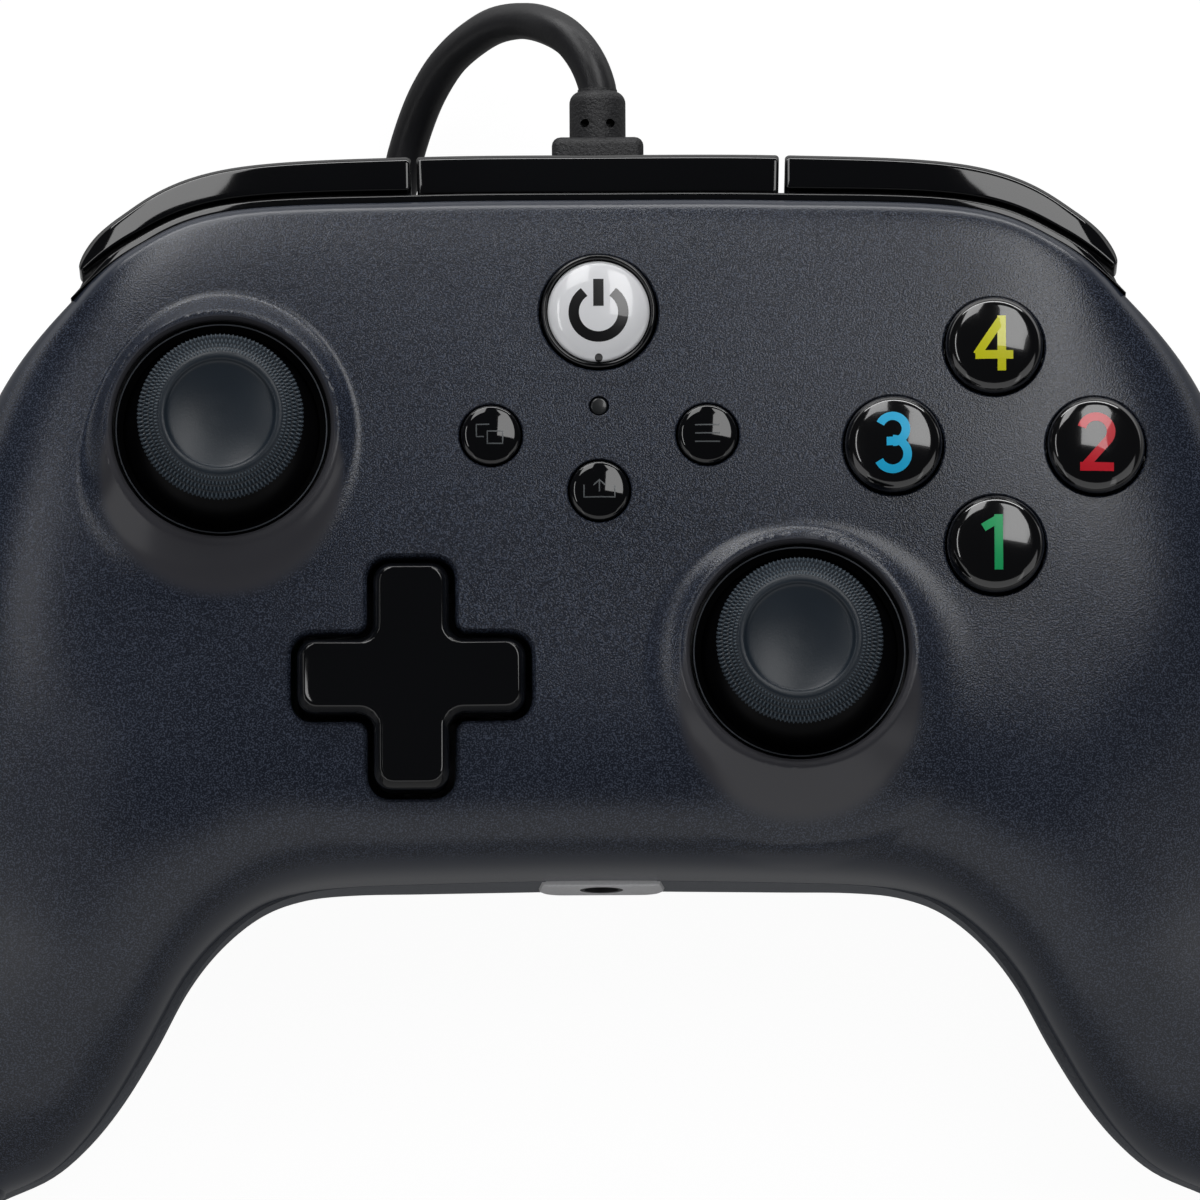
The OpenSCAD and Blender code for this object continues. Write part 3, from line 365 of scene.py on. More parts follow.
def box(name, low, high, edge=0.0, segments=3):
    """A block between two corners, its edges rounded."""
    low, high = Vector(low) * MM, Vector(high) * MM
    bpy.ops.object.select_all(action="DESELECT")
    bpy.ops.mesh.primitive_cube_add(size=1)
    obj = bpy.context.object
    obj.name = obj.data.name = name
    bpy.ops.object.mode_set(mode="EDIT")
    bpy.ops.mesh.select_all(action="SELECT")
    bpy.ops.transform.resize(value=tuple(high - low))
    bpy.ops.transform.translate(value=tuple((low + high) / 2))
    if edge:
        bpy.ops.mesh.bevel(offset=edge * MM, segments=segments, affect="EDGES")
    bpy.ops.object.mode_set(mode="OBJECT")
    return obj


def joined(obj, tools, operation):
    """Adds the tools to the piece or cuts them from it, and deletes them."""
    for tool in tools:
        modified(obj, "BOOLEAN", operation=operation, solver="MANIFOLD", object=tool)
        bpy.data.objects.remove(tool, do_unlink=True)
    return obj


def softened(obj, angle=35):
    """Smooth shading, with edges over this angle kept sharp."""
    only(obj)
    bpy.ops.object.shade_smooth_by_angle(angle=math.radians(angle))
    return obj


def dress(obj, material, body, slot, *replaced):
    """Gives a piece its material and its body, and hides the nodes it stands for. The slot is not used."""
    obj.data.materials.clear()
    obj.data.materials.append(material)
    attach(obj, body)
    if replaced:
        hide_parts(*replaced)
    return obj


neck_edge = 1.2
clamp_r = 4.6
clamp_y = (41.4, 43.2)
waist_r = 3.6
neck_start = back_y + 0.3
neck_profile = [(0, clamp_y[0]), (clamp_r, clamp_y[0]), (clamp_r, clamp_y[1]), (waist_r, clamp_y[1])]
neck_profile += [(waist_r, neck_start), (neck_r, neck_start)]
neck_profile += arc((neck_r - neck_edge, neck_end - 0.4 - neck_edge), neck_edge, 0, 72, 7)
neck_profile += [(cord_d / 2 + 0.1, neck_end - 0.2), (cord_d / 2 - 0.2, neck_end - 0.1), (0, neck_end - 0.1)]
relief = turned("strain_relief_body", neck_profile, (0, 0, cord_z), "Y", 48)
block_w = 9.3
block_h = 7.4
relief_block = box("relief_block", (-block_w / 2, back_y + 0.15, cord_z - block_h / 2),
                   (block_w / 2, block_end, cord_z + block_h / 2), 0.9, 4)
joined(relief, [relief_block], "UNION")
bleed_r = 0.45
bleed_y = 56.4
bleed_profile = [(0, cord_z + 1), (bleed_r, cord_z + 1), (bleed_r, cord_z + 5), (0, cord_z + 5)]
bleeds = [turned("bleed", bleed_profile, (x, bleed_y, 0), steps=24) for x in (-1.3, 1.3)]
joined(relief, bleeds, "DIFFERENCE")
softened(relief, 40)
relief_skin, spot = finish("relief_grain", roughness=0.5)
pits = spot.noise(3200, 3, 0.6)
feed(relief_skin, base_color=(pits ** 3.0).mix(linear("#101012"), linear("#4a4a4e")),
     normal=pits.bump(0.00012))
dress(relief, relief_skin, "housing", "cord_jacket", "strain_relief")


# Cord tie: a flat black strap wrapped once round the coil's four layers.
def merged_copy(node, name):
    """A copy of a CAD node's mesh with its triangles joined into whole faces."""
    obj = cad[node].copy()
    obj.data = cad[node].data.copy()
    obj.name = obj.data.name = name
    bpy.context.collection.objects.link(obj)
    for key in list(obj.keys()):
        del obj[key]
    world = obj.matrix_world.copy()
    obj.parent = None
    obj.matrix_world = world
    only(obj)
    bpy.ops.object.transform_apply(location=True, rotation=True, scale=True)
    bpy.ops.object.mode_set(mode="EDIT")
    bpy.ops.mesh.select_all(action="SELECT")
    bpy.ops.mesh.remove_doubles(threshold=0.000002)
    bpy.ops.mesh.dissolve_limited(angle_limit=math.radians(1))
    bpy.ops.object.mode_set(mode="OBJECT")
    return obj


def rounded(obj, width, segments=3, angle=40):
    """Rounds every edge sharper than the angle."""
    return modified(obj, "BEVEL", width=width * MM, segments=segments, limit_method="ANGLE",
                    angle_limit=math.radians(angle), use_clamp_overlap=True)


def mottled(name, low, high, cells, detail=3, rough=None, relief=0, wear=None, crumble=0.5, **fixed):
    """A finish whose colour drifts between two shades, in noise of that many cells a metre. rough is the
    spread and the least of the roughness, on the same noise or on wear's own; relief is a bump's depth."""
    made, place = finish(name, **fixed)
    drift = place.noise(cells, detail, crumble)
    feed(made, base_color=drift.mix(linear(low), linear(high)))
    if rough:
        feed(made, roughness=(place.noise(*wear) if wear else drift) * rough[0] + rough[1])
    if relief:
        feed(made, normal=drift.bump(relief))
    return made


tie = softened(rounded(merged_copy("cord_tie", "cord_tie_strap"), 0.15))
strap = mottled("tie_strap", "#1c1c1e", "#2e2e31", 900, 3, (0.2, 0.5), 0.00004)
dress(tie, strap, "housing", "inner_plastic", "cord_tie")


# Plug: an overmoulded grip with finger ribs, a folded nickel-plated shell with two spring windows,
# and a black tongue inside it with four contact strips.
grip_half = 8
grip_len = 24
rib_first = 9
rib_w = 0.9
rib_pitch = 2.4
rib_deep = 0.4
grip = box("plug_grip", (plug_x - grip_half, plug_y - grip_len, 0),
           (plug_x + grip_half, plug_y, 2 * plug_z), 1.4, 4)
ribs = []
for k in range(4):
    rib_y = plug_y - rib_first - rib_pitch * k
    for low in (-0.2, 2 * plug_z - rib_deep):
        ribs.append(box("rib", (plug_x - grip_half - 1, rib_y, low),
                        (plug_x + grip_half + 1, rib_y + rib_w, low + 0.6)))
joined(grip, ribs, "DIFFERENCE")
softened(grip)
dress(grip, relief_skin, "housing", "cord_jacket", "plug_body")
plug_w = 12
plug_h = 4.5
shell_start = plug_y - grip_len
shell_len = 12
metal = box("plug_metal", (plug_x - plug_w / 2, shell_start - shell_len, plug_z - plug_h / 2),
            (plug_x + plug_w / 2, shell_start, plug_z + plug_h / 2), 0.4, 3)
fold = 0.35
hollow = box("hollow", (plug_x - plug_w / 2 + fold, shell_start - 13, plug_z - plug_h / 2 + fold),
             (plug_x + plug_w / 2 - fold, shell_start - 0.3, plug_z + plug_h / 2 - fold))
windows = [box("window", (plug_x + x - 1.1, shell_start - 6.6, plug_z - 4),
               (plug_x + x + 1.1, shell_start - 4.2, plug_z + 4)) for x in (-2.9, 2.9)]
joined(metal, [hollow] + windows, "DIFFERENCE")
softened(metal)
nickel = mottled("plug_nickel", "#b9bcc0", "#d6d8da", 500, 4, (0.25, 0.12), metallic=1.0)
dress(metal, nickel, "housing", "plug_metal", "plug_shell")
tongue = box("plug_tongue", (plug_x - plug_w / 2 + 0.5, shell_start - 11.4, plug_z - plug_h / 2 + 0.4),
             (plug_x + plug_w / 2 - 0.5, shell_start - 0.1, plug_z - plug_h / 2 + 1.9), 0.15, 2)
moulding = mottled("inner_moulding", "#18181a", "#232326", 400, 3, (0.2, 0.45))
dress(tongue, moulding, "housing", "inner_plastic")
gilt = mottled("contact_gilt", "#b58a35", "#d9b463", 800, 3, (0.2, 0.2), metallic=1.0)
for k, x in enumerate((-3.5, -1, 1, 3.5)):
    strip = box(f"plug_contact_{k + 1}", (plug_x + x - 0.5, shell_start - 10.8, plug_z - plug_h / 2 + 1.8),
                (plug_x + x + 0.5, shell_start - 2, plug_z - plug_h / 2 + 2.0), 0.05, 1)
    dress(strip, gilt, "housing", "plug_metal")


# Lower shell: a satin grey moulding from one tool, drawn as sections from grip to grip. It carries
# the flat foot, the two trigger bays and the five screw wells, and a light boss holds the socket.
outer_x = [0, 18, 37, 46.4, 53.1, 60.2, 66.2, 71, 74.8, 76.5, 75.8, 72, 66]
outer_y = [46, 45.9, 45.1, 41.6, 36.2, 27.7, 14.5, 1.5, -13, -26, -37, -45.5, -50.2]
inner_x = [0, 9, 18, 25, 30, 34.4, 38.6, 42.2, 45.7, 49.1, 52.4, 56, 60.5]
inner_y = [-21.6, -21.7, -21.9, -22.1, -22.6, -24, -27, -31, -36.8, -42, -46, -48.9, -50.8]
seam_out = [31, 31, 31, 31, 30.8, 30.3, 29.5, 28, 25, 21, 17, 13.5, 11.5]
seam_in = [29, 29, 29, 28.8, 28.4, 28, 27, 25, 22, 18.5, 15.5, 12.8, 11.3]
crown_drop = [0, 0, 0.1, 0.3, 0.7, 1.4, 2.8, 5.6, 10, 15.8, 20.6, 26, 30.5]
under_z = [9.5, 9.5, 9.5, 9.5, 9.2, 8.6, 7.6, 6, 4, 2, 0.8, 0.3, 2]
rim_lift = [10, 10, 10, 10, 8.5, 5, 2, 0.8, 0.6, 0.6, 0.6, 0.6, 0.6]
round_out = [2.2, 2.2, 2.2, 2.3, 2.5, 2.7, 2.7, 2.5, 2.4, 2.3, 2.2, 2.1, 2]
round_in = [4.5, 4.5, 4.5, 4.2, 3.8, 3.4, 3, 2.8, 2.6, 2.4, 2.3, 2.2, 2.1]
round_low = [4.5, 4.5, 4.2, 3.8, 3.4, 3.2, 3, 2.8, 2.6, 2.5, 2.4, 2.3, 2.2]
back_out = [4.4, 4.4, 4, 2.8, 1.2, 0.3, 0, 0, 0, 0, 0, 0, 0]
back_in = [0, 0, 0, 0, 0.1, 0.3, 0.5, 0.7, 0.8, 0.7, 0.5, 0.3, 0]
face_z = 46.5
wall = 2.2
seam_gap = 0.25
last = len(outer_x) - 1


def along(values, u, odd=False):
    """The smooth curve through a list at station u; an odd list changes sign across the middle."""
    i = min(int(math.floor(u)), len(values) - 2)

    def item(k):
        return (-1 if odd else 1) * values[-k] if k < 0 else values[min(k, len(values) - 1)]

    a, b, c, d = (item(i + k) for k in (-1, 0, 1, 2))
    t = u - i
    return (2 * b + (c - a) * t + (2 * a - 5 * b + 4 * c - d) * t ** 2 + (3 * b - a - 3 * c + d) * t ** 3) / 2


def edge(u):
    """Point of the shell's outer edge at a signed station."""
    return np.array([math.copysign(1, u) * along(outer_x, abs(u), True), along(outer_y, abs(u))])


def inner_edge(u):
    return np.array([math.copysign(1, u) * along(inner_x, abs(u), True), along(inner_y, abs(u))])


def edge_off(u, d):
    """Point that far outside the outer edge."""
    run = edge(u + 0.05) - edge(u - 0.05)
    run = run / np.linalg.norm(run)
    return edge(u) + d * np.array([-run[1], run[0]])


def section(u, up, inset, count):
    """Outline of a shell at one station: upright rim, then a rounded crown or underside."""
    v = abs(u)
    out, inn = edge(u), inner_edge(u)
    d = (inn - out) / np.linalg.norm(inn - out)
    grow_o, grow_i = (0, 0) if up else (along(back_out, v), along(back_in, v))
    o = out + d * (inset * 1.2 if inset else -grow_o)
    i = inn - d * (inset * 1.15 - grow_i if inset else -grow_i)
    so = along(seam_out, v) - (0 if up else seam_gap)
    si = along(seam_in, v) - (0 if up else seam_gap)
    lift = along(rim_lift, v) * (0.9 if inset else 1)
    rim = (so + lift, si) if up else (so - 0.6, si - 0.6)
    top = face_z - along(crown_drop, v) - inset if up else along(under_z, v) + inset
    points = [(*o, so)]
    for t in 0.5 - 0.5 * np.cos(np.linspace(0, math.pi, count)):
        power = along((round_out if t <= 0.5 else round_in) if up else round_low, v)
        base = rim[0] + (rim[1] - rim[0]) * t
        swell = (1 - abs(2 * t - 1) ** power) ** (1 / power)
        points.append((*(o + (i - o) * t), base + (top - base) * swell))
    if not up:
        points.append((*i, si))
    return np.array(points)


tip_depth = 1.4


def tip_rows(u, up, count):
    """Rows past the last station that round the grip's end off."""
    base = section(u, up, 0, count)
    middle = (base[0] + base[-1]) / 2
    rows = []
    for turn in np.radians([18, 36, 52, 66, 78]):
        rows.append(middle + (base - middle) * math.cos(turn) + (0, -tip_depth * math.sin(turn), 0))
    return rows


def shell(name, up, stations, out_count, in_count):
    """A hollow half shell: outer rows from tip to tip, inner rows that stop short of both tips, and rims."""
    outside = tip_rows(-last, up, out_count)[::-1]
    outside += [section(u, up, 0, out_count) for u in stations] + tip_rows(last, up, out_count)
    solid_end = 5 + sum(1 for u in stations if u > last - 1)
    inside = [section(u, up, wall, in_count) for u in stations[solid_end - 5:len(stations) - solid_end + 5]]
    rows, o_n, i_n = len(outside), len(outside[0]), len(inside[0])
    base = rows * o_n

    def o(i, j):
        return i * o_n + j % o_n

    def n(i, j):
        return base + (i - solid_end) * i_n + j % i_n

    stop = rows - 1 - solid_end
    faces = [(o(i, j), o(i, j + 1), o(i + 1, j + 1), o(i + 1, j))
             for i in range(rows - 1) for j in range(o_n - 1)]
    faces += [(n(i, j), n(i + 1, j), n(i + 1, j + 1), n(i, j + 1))
              for i in range(solid_end, stop) for j in range(i_n - 1)]
    for i in range(solid_end, stop):
        faces.append((o(i, 0), o(i + 1, 0), n(i + 1, 0), n(i, 0)))
        faces.append((o(i, -1), n(i, -1), n(i + 1, -1), o(i + 1, -1)))
    for i in list(range(solid_end - 1)) + list(range(stop + 1, rows - 1)):
        faces.append((o(i, 0), o(i, -1), o(i + 1, -1), o(i + 1, 0)))
    for near, far in ((solid_end, solid_end - 1), (stop, stop + 1)):
        faces.append((o(far, 0), o(near, 0), n(near, 0), n(near, -1), o(near, -1), o(far, -1)))
        faces.append(tuple(n(near, j) for j in range(i_n)))
    faces += [tuple(o(0, j) for j in range(o_n)), tuple(o(rows - 1, j) for j in range(o_n))]
    return solid(name, np.vstack(outside + inside), faces)


def tube_faces(rows, count):
    """Faces of a closed solid through that many rows of points, with a cap at each end."""
    faces = [tuple(range(count)), tuple(range((rows - 1) * count, rows * count))]
    for i in range(0, (rows - 1) * count, count):
        for k in range(count):
            after = (k + 1) % count
            faces.append((i + k, i + after, i + count + after, i + count + k))
    return faces


def lofted(name, outlines):
    """A closed solid through outlines of the same count of points, given as ((x, y), ...) and height."""
    points = [(x, y, z) for outline, z in outlines for x, y in outline]
    return solid(name, points, tube_faces(len(outlines), len(outlines[0][0])))


def both_sides(name, outline, low, high):
    """Two upright blocks on an outline and on its mirror image."""
    return [lofted(name, [([(s * x, y) for x, y in outline], z) for z in (low, high)]) for s in (1, -1)]


def round_rect(width, depth, radius, centre, fine=8):
    """Outline of a rectangle with round corners."""
    x, y = width / 2 - radius, depth / 2 - radius
    points = []
    for cx, cy, start in ((x, y, 0), (-x, y, 90), (-x, -y, 180), (x, -y, 270)):
        points += arc((centre[0] + cx, centre[1] + cy), radius, start, start + 90, fine)
    return points


def even_stations(gap):
    """Stations from tip to tip about that many millimetres apart along the longer edge."""
    fine = np.linspace(0, last, 2400)
    run = [0.0]
    for a, b in zip(fine, fine[1:]):
        steps = [np.linalg.norm(side(b) - side(a)) for side in (edge, inner_edge)]
        run.append(run[-1] + max(steps))
    half = np.interp(np.linspace(0, run[-1], int(run[-1] / gap)), run, fine)
    return [-u for u in half[:0:-1]] + list(half)


foot_w = 54
foot_d = 28
foot_y = 13
jack_y = -22.1
jack_z = 25.6
lower = shell("lower_shell", False, even_stations(1.6), 60, 24)
foot_rows = [(2.2, 0.0), (1.2, 0.25), (0.4, 0.9), (0, 1.9)]
foot_corner = 5
foot_draft = 0.35
foot_outlines = []
for d, z in foot_rows + [(0, 6), (0, 10.9)]:
    grow = 2 * (foot_draft * z - d)
    foot_outlines.append((round_rect(foot_w + grow, foot_d + grow, foot_corner + grow / 2, (0, foot_y)), z))
joined(lower, [lofted("foot", foot_outlines)], "UNION")
bay = [(30.5, 31), (44, 31), (48, 28.4), (54.6, 28.4), (57.6, 30.8), (64, 30.8), (64, 62), (30.5, 62)]
bay_wall = [(30.2, 40.5), (30.2, 30.7), (43.9, 30.7), (47.9, 28.1), (51.5, 28.1), (51.5, 26.9), (47.5, 26.9),
            (43.5, 29.5), (29, 29.5), (29, 40.5)]
posts = [((61, 4), 28), ((-61, 4), 28), ((63, -37), 16), ((-63, -37), 16), ((0, 3), 24)]
head_up = 7
well_r = 2.7
joined(lower, both_sides("bay", bay, -1, 31), "DIFFERENCE")
joined(lower, both_sides("bay_liner", bay_wall, 11.8, 27.1), "UNION")
for place, meet in posts:
    well = [(0, -2), (well_r, -2), (well_r, meet - head_up), (0, meet - head_up)]
    joined(lower, [turned("well", well, (*place, 0), steps=40)], "DIFFERENCE")
cord_hole = turned("cord_hole", [(0, 40), (3.7, 40), (3.7, 56), (0, 56)], (0, 0, cord_z), "Y", 48)
jack_r = 2.2
jack_mouth = [(0, jack_y - 2), (jack_r, jack_y - 2), (jack_r, -15), (0, -15)]
jack_hole = turned("jack_hole", jack_mouth, (0, 0, jack_z), "Y", 48)
gap_x = (18.1, 18.9)
gap_side = [(46.9, 32), (53, 32), (53, 7), (50.7, 7)]
gap_notches = [solid("gap_notch", [(s * x, y, z) for x in gap_x for y, z in gap_side], tube_faces(2, 4))
               for s in (1, -1)]
joined(lower, [cord_hole] + gap_notches, "DIFFERENCE")
boss_half = 6
boss_top = 28.6
boss_corner = 2.2
boss_outline = [(-boss_half, boss_top)] + arc((-4.2, jack_z - 1.6), boss_corner, 190, 270, 9)
boss_outline += arc((4.2, jack_z - 1.6), boss_corner, 270, 350, 9) + [(boss_half, boss_top)]
boss_rows = [(0.45, jack_y), (0.12, jack_y + 0.15), (0, jack_y + 0.5), (0, -18.6)]
boss_middle = np.array([0, jack_z])
boss_spread = np.array(boss_outline) - boss_middle
boss_points = [(x, y, z) for d, y in boss_rows for x, z in boss_middle + boss_spread * (1 - d / boss_half)]
boss = solid("socket_boss", boss_points, tube_faces(len(boss_rows), len(boss_outline)))
boss_slot = box("boss_slot", (-5.6, jack_y - 1, jack_z - 3), (5.6, -17, 29))
joined(lower, [boss_slot], "DIFFERENCE")
joined(boss, [jack_hole], "DIFFERENCE")
softened(boss, 32)
softened(lower, 32)
back_grain, spot = finish("back_grain")
stipple = spot.noise(3600, 2, 0.55)
back_tone = spot.noise(60, 3)
feed(back_grain, base_color=(stipple * 0.6 + back_tone * 0.4).mix(linear("#474a50"), linear("#65686e")),
     roughness=back_tone * 0.12 + 0.5, normal=stipple.bump(0.00006))
dress(lower, back_grain, "housing", "back_plastic", "back_shell")
boss_grey = mottled("boss_grey", "#c8c8ca", "#e2e2e4", 3600, 2, (0.1, 0.5), crumble=0.55)
dress(boss, boss_grey, "housing", "back_plastic")
sleeve_in = 1.75
sleeve_out = 2.18
sleeve_front = jack_y + 0.03
sleeve_back = -16
sleeve = [(sleeve_in, sleeve_front), (sleeve_out, sleeve_front), (sleeve_out, sleeve_back),
          (sleeve_in, sleeve_back), (sleeve_in, sleeve_front)]
socket_sleeve = softened(turned("socket_sleeve", sleeve, (0, 0, jack_z), "Y", 48))
dress(socket_sleeve, moulding, "housing", "inner_plastic")


# Upper shell: the slate-grey face with a fine leathery grain that stops short of the edges, two
# raised collars round the sticks, and openings whose lips are softly rounded by the mould.
rim_z = 47.5
left_stick = (-38, 22)
right_stick = (20, -1)
sticks = {"left": left_stick, "right": right_stick}
stick_hole_r = 11
pad = (-19, -3.3)
pad_w = 23
arm_w = 7.6
pad_gap = 0.6
face_mid = (39.8, 20)
face_pitch = 10.2
button_r = 4.9
button_gap = 0.2
face_ways = {"north": (0, 1), "south": (0, -1), "east": (1, 0), "west": (-1, 0)}
faces_at = {name: (face_mid[0] + face_pitch * x, face_mid[1] + face_pitch * y)
            for name, (x, y) in face_ways.items()}
home_at = (0, 33.9)
home_r = 5.8
light_at = (0, 24.2)
light_r = 0.9
small_at = {"view": (-10.9, 21.2), "menu": (10.9, 21.2), "share": (0, 15.5)}
small_r = 3
collar_top_r = stick_hole_r + 0.9
collar_shape = {left_stick: (0.75, 0.25, 1.0, 0.85), right_stick: (2.3, 0.2, 0.35, -1.15)}
collar_fade = 18
collar_reach = 21
upper = shell("upper_shell", True, even_stations(0.7), 120, 22)


def near_stick(x, y):
    return any(stick_hole_r - 0.8 < math.hypot(x - sx, y - sy) < collar_reach for sx, sy in sticks.values())


only(upper)
bpy.ops.object.mode_set(mode="EDIT")
bpy.ops.mesh.select_mode(type="FACE")
bpy.ops.mesh.select_all(action="DESELECT")
bpy.ops.object.mode_set(mode="OBJECT")
for patch in upper.data.polygons:
    patch.select = patch.normal.z > 0.3 and near_stick(patch.center.x / MM, patch.center.y / MM)
bpy.ops.object.mode_set(mode="EDIT")
bpy.ops.mesh.subdivide(number_cuts=2)
bpy.ops.object.mode_set(mode="OBJECT")
corners = np.empty(len(upper.data.vertices) * 3)
leans = np.empty(len(corners))
upper.data.vertices.foreach_get("co", corners)
upper.data.vertex_normals.foreach_get("vector", leans)
corners = corners.reshape(-1, 3) / MM
outside = leans.reshape(-1, 3)[:, 2] > 0.2


def fade(value, low, high):
    """0 below low, 1 above high, and a smooth step between."""
    t = np.clip((value - low) / (high - low), 0, 1)
    return t * t * (3 - 2 * t)


def collar(places, stick):
    """Distance from a stick's axis, and how far its collar's slope runs out in that direction."""
    off = places[:, :2] - np.array(stick)
    r = np.hypot(*off.T)
    aside, ahead = (off / np.maximum(r, 0.1)[:, None]).T
    beside, lean, tilt, along_y = collar_shape[stick]
    return r, beside + lean * aside - tilt * ahead + along_y * ahead ** 2


for stick in sticks.values():
    r, run_out = collar(corners, stick)
    cone = rim_z - np.maximum(r - collar_top_r, 0) / run_out
    soft = 0.5 + 0.3 / run_out + 0.05 * np.maximum(r - collar_top_r, 0)
    share = np.clip(0.5 + 0.5 * (cone - corners[:, 2]) / soft, 0, 1)
    share *= (1 - fade(r, collar_fade, collar_reach)) * outside
    corners[:, 2] += (cone - corners[:, 2]) * share + soft * share * (1 - share)
upper.data.vertices.foreach_set("co", (corners * MM).ravel())
upper.data.update()
face_tree = BVHTree.FromPolygons([v.co for v in upper.data.vertices],
                                 [patch.vertices for patch in upper.data.polygons])


def face_height(x, y):
    """Height of the finished face over a place."""
    hit = face_tree.ray_cast(Vector((x, y, 80)) * MM, Vector((0, 0, -1)))[0]
    return hit.z / MM


opening_low = 36


def opening(outline, lip):
    """Cutter for an opening: outline(d) is its edge moved out by d, and its lip rounds over into the face."""
    rows = [(0.0, None)]
    for turn in np.radians([0, 18, 36, 52, 66]):
        rows.append((lip * (1 - math.cos(turn)), lip * (1 - math.sin(turn))))
    rows += [(lip * 0.66, -6)]
    points = []
    for out, down in rows:
        for x, y in outline(out):
            points.append((x, y, opening_low if down is None else face_height(x, y) - down))
    return solid("opening", points, tube_faces(len(rows), len(outline(0))))


def ring_at(place, radius, count=96):
    return lambda d: arc(place, radius + d, 0, 360 - 360 / count, count)


def cross_outline(length, width, out_r, in_r, fine=7):
    """A cross with round arm ends and round inner corners, about the pad's middle."""
    a, b = length / 2, width / 2
    quarter = arc((a - out_r, b - out_r), out_r, 0, 90, fine)
    quarter += arc((b + in_r, b + in_r), in_r, 270, 180, fine)
    quarter += arc((b - out_r, a - out_r), out_r, 0, 90, fine)
    points = []
    for k in range(4):
        c, s = (1, 0, -1, 0)[k], (0, 1, 0, -1)[k]
        points += [(pad[0] + x * c - y * s, pad[1] + x * s + y * c) for x, y in quarter]
    return points


def pad_hole(d):
    grow = 2 * (pad_gap + d)
    return cross_outline(pad_w + grow, arm_w + grow, 2.1 + d, max(1.3 - d, 0.2))


cutters = [opening(ring_at(place, stick_hole_r, 128), 0.6) for place in sticks.values()]
cutters += [opening(ring_at(place, button_r + button_gap), 0.32) for place in faces_at.values()]
cutters += [opening(ring_at(home_at, home_r + button_gap), 0.32)]
cutters += [opening(ring_at(place, small_r + button_gap, 64), 0.25) for place in small_at.values()]
cutters += [opening(ring_at(light_at, light_r + 0.1, 40), 0.12)]
cutters += [opening(pad_hole, 0.7)]
joined(upper, cutters, "DIFFERENCE")
softened(upper, 30)
modified(upper, "WEIGHTED_NORMAL", keep_sharp=True)
rim_line = [edge(u) for u in np.linspace(-last, last, 500)]
rim_line = np.array(rim_line + [inner_edge(u) for u in np.linspace(last, -last, 500)])
plan = np.array([v.co[:] for v in upper.data.vertices]) / MM
inset = np.full(len(plan), 1e9)
for a, b in zip(rim_line, np.roll(rim_line, -1, axis=0)):
    run = b - a
    t = np.clip(((plan[:, :2] - a) @ run) / max(run @ run, 1e-9), 0, 1)
    inset = np.minimum(inset, np.hypot(*(plan[:, :2] - a - t[:, None] * run).T))
bare_rim = 0.7
bare_run = 4.6
grain = fade(inset, 0.8, 1.5)
# Round each collar the grain is left off a smooth band that widens toward the player's side. That band is
# coloured a lighter warm grey, a painted sheen on the collar's lower slope.
covered = np.ones(len(plan))
for stick in sticks.values():
    r = np.hypot(plan[:, 0] - stick[0], plan[:, 1] - stick[1])
    nearer = np.clip((stick[1] - plan[:, 1]) / np.maximum(r, 0.1), 0, 1)
    bare = collar_top_r - bare_rim + bare_run * nearer ** 1.2
    covered *= fade(r, bare, bare + 0.5 + 1.5 * nearer)
for name, values in (("grain", grain * covered), ("covered", covered)):
    upper.data.attributes.new(name, "FLOAT", "POINT").data.foreach_set("value", values.astype(np.float32))
slate, spot = finish("slate_grain", specular_ior_level=0.5)
grained = spot.node("ShaderNodeAttribute", {"attribute_name": "grain"}, {}, 2)
leather = spot.noise(6400, 1.0, 0.5)
# The bright specks on the grain's peaks are partly the grain's own speckle and partly a painted glint.
specks = ((leather - 0.55) * 8 + 0.4).clamped()
tone = spot.noise(40, 3)
smooth_sheen_tone = (tone * 0.3 + 0.3).mix(linear("#343438"), linear("#46464b"))
grain_tone = ((specks - 0.35) * grained * 0.8 + 0.28 + tone * 0.2).mix(linear("#131721"), linear("#434a59"))
grain_vs_sheen = spot.node("ShaderNodeAttribute", {"attribute_name": "covered"}, {}, 2)
# Off the grain the face takes the lighter warm grey smooth tone, a painted sheen; under the grain it takes
# the bluish grain tone.
feed(slate, base_color=grain_vs_sheen.mix(smooth_sheen_tone, grain_tone), roughness=tone * 0.05 + 0.2,
     normal=(leather * grained).bump(0.000028))
dress(upper, slate, "housing", "face_plastic", "front_shell")


# Trim, bridge and bumpers: gloss black mouldings swept along the shell's back edge. The trim is a thin
# fixed strip, the bridge sits over the cord, and each bumper swings on a pin at its inner end.
bumper_top = 41
bar_top = bumper_top - 0.45
bumper_low = 33
bumper_d = 5
trim_t = 0.8
bumper_gap = 0.5
bridge_half = 18.2
bridge_gap = 0.6
bumper_taper = [1, 1, 0.93, 0.76, 0.54]
bar_r = (0.3, 0.75)
thin_r = (0.1, 0.1)
top_slope = [0.27, 0.27, 0.28, 0.34, 0.8]


def station_at(x):
    """Station where the outer edge has that distance from the middle."""
    low, high = 0.0, 6.0
    for _ in range(50):
        mid = (low + high) / 2
        low, high = (mid, high) if along(outer_x, mid, True) < x else (low, mid)
    return low


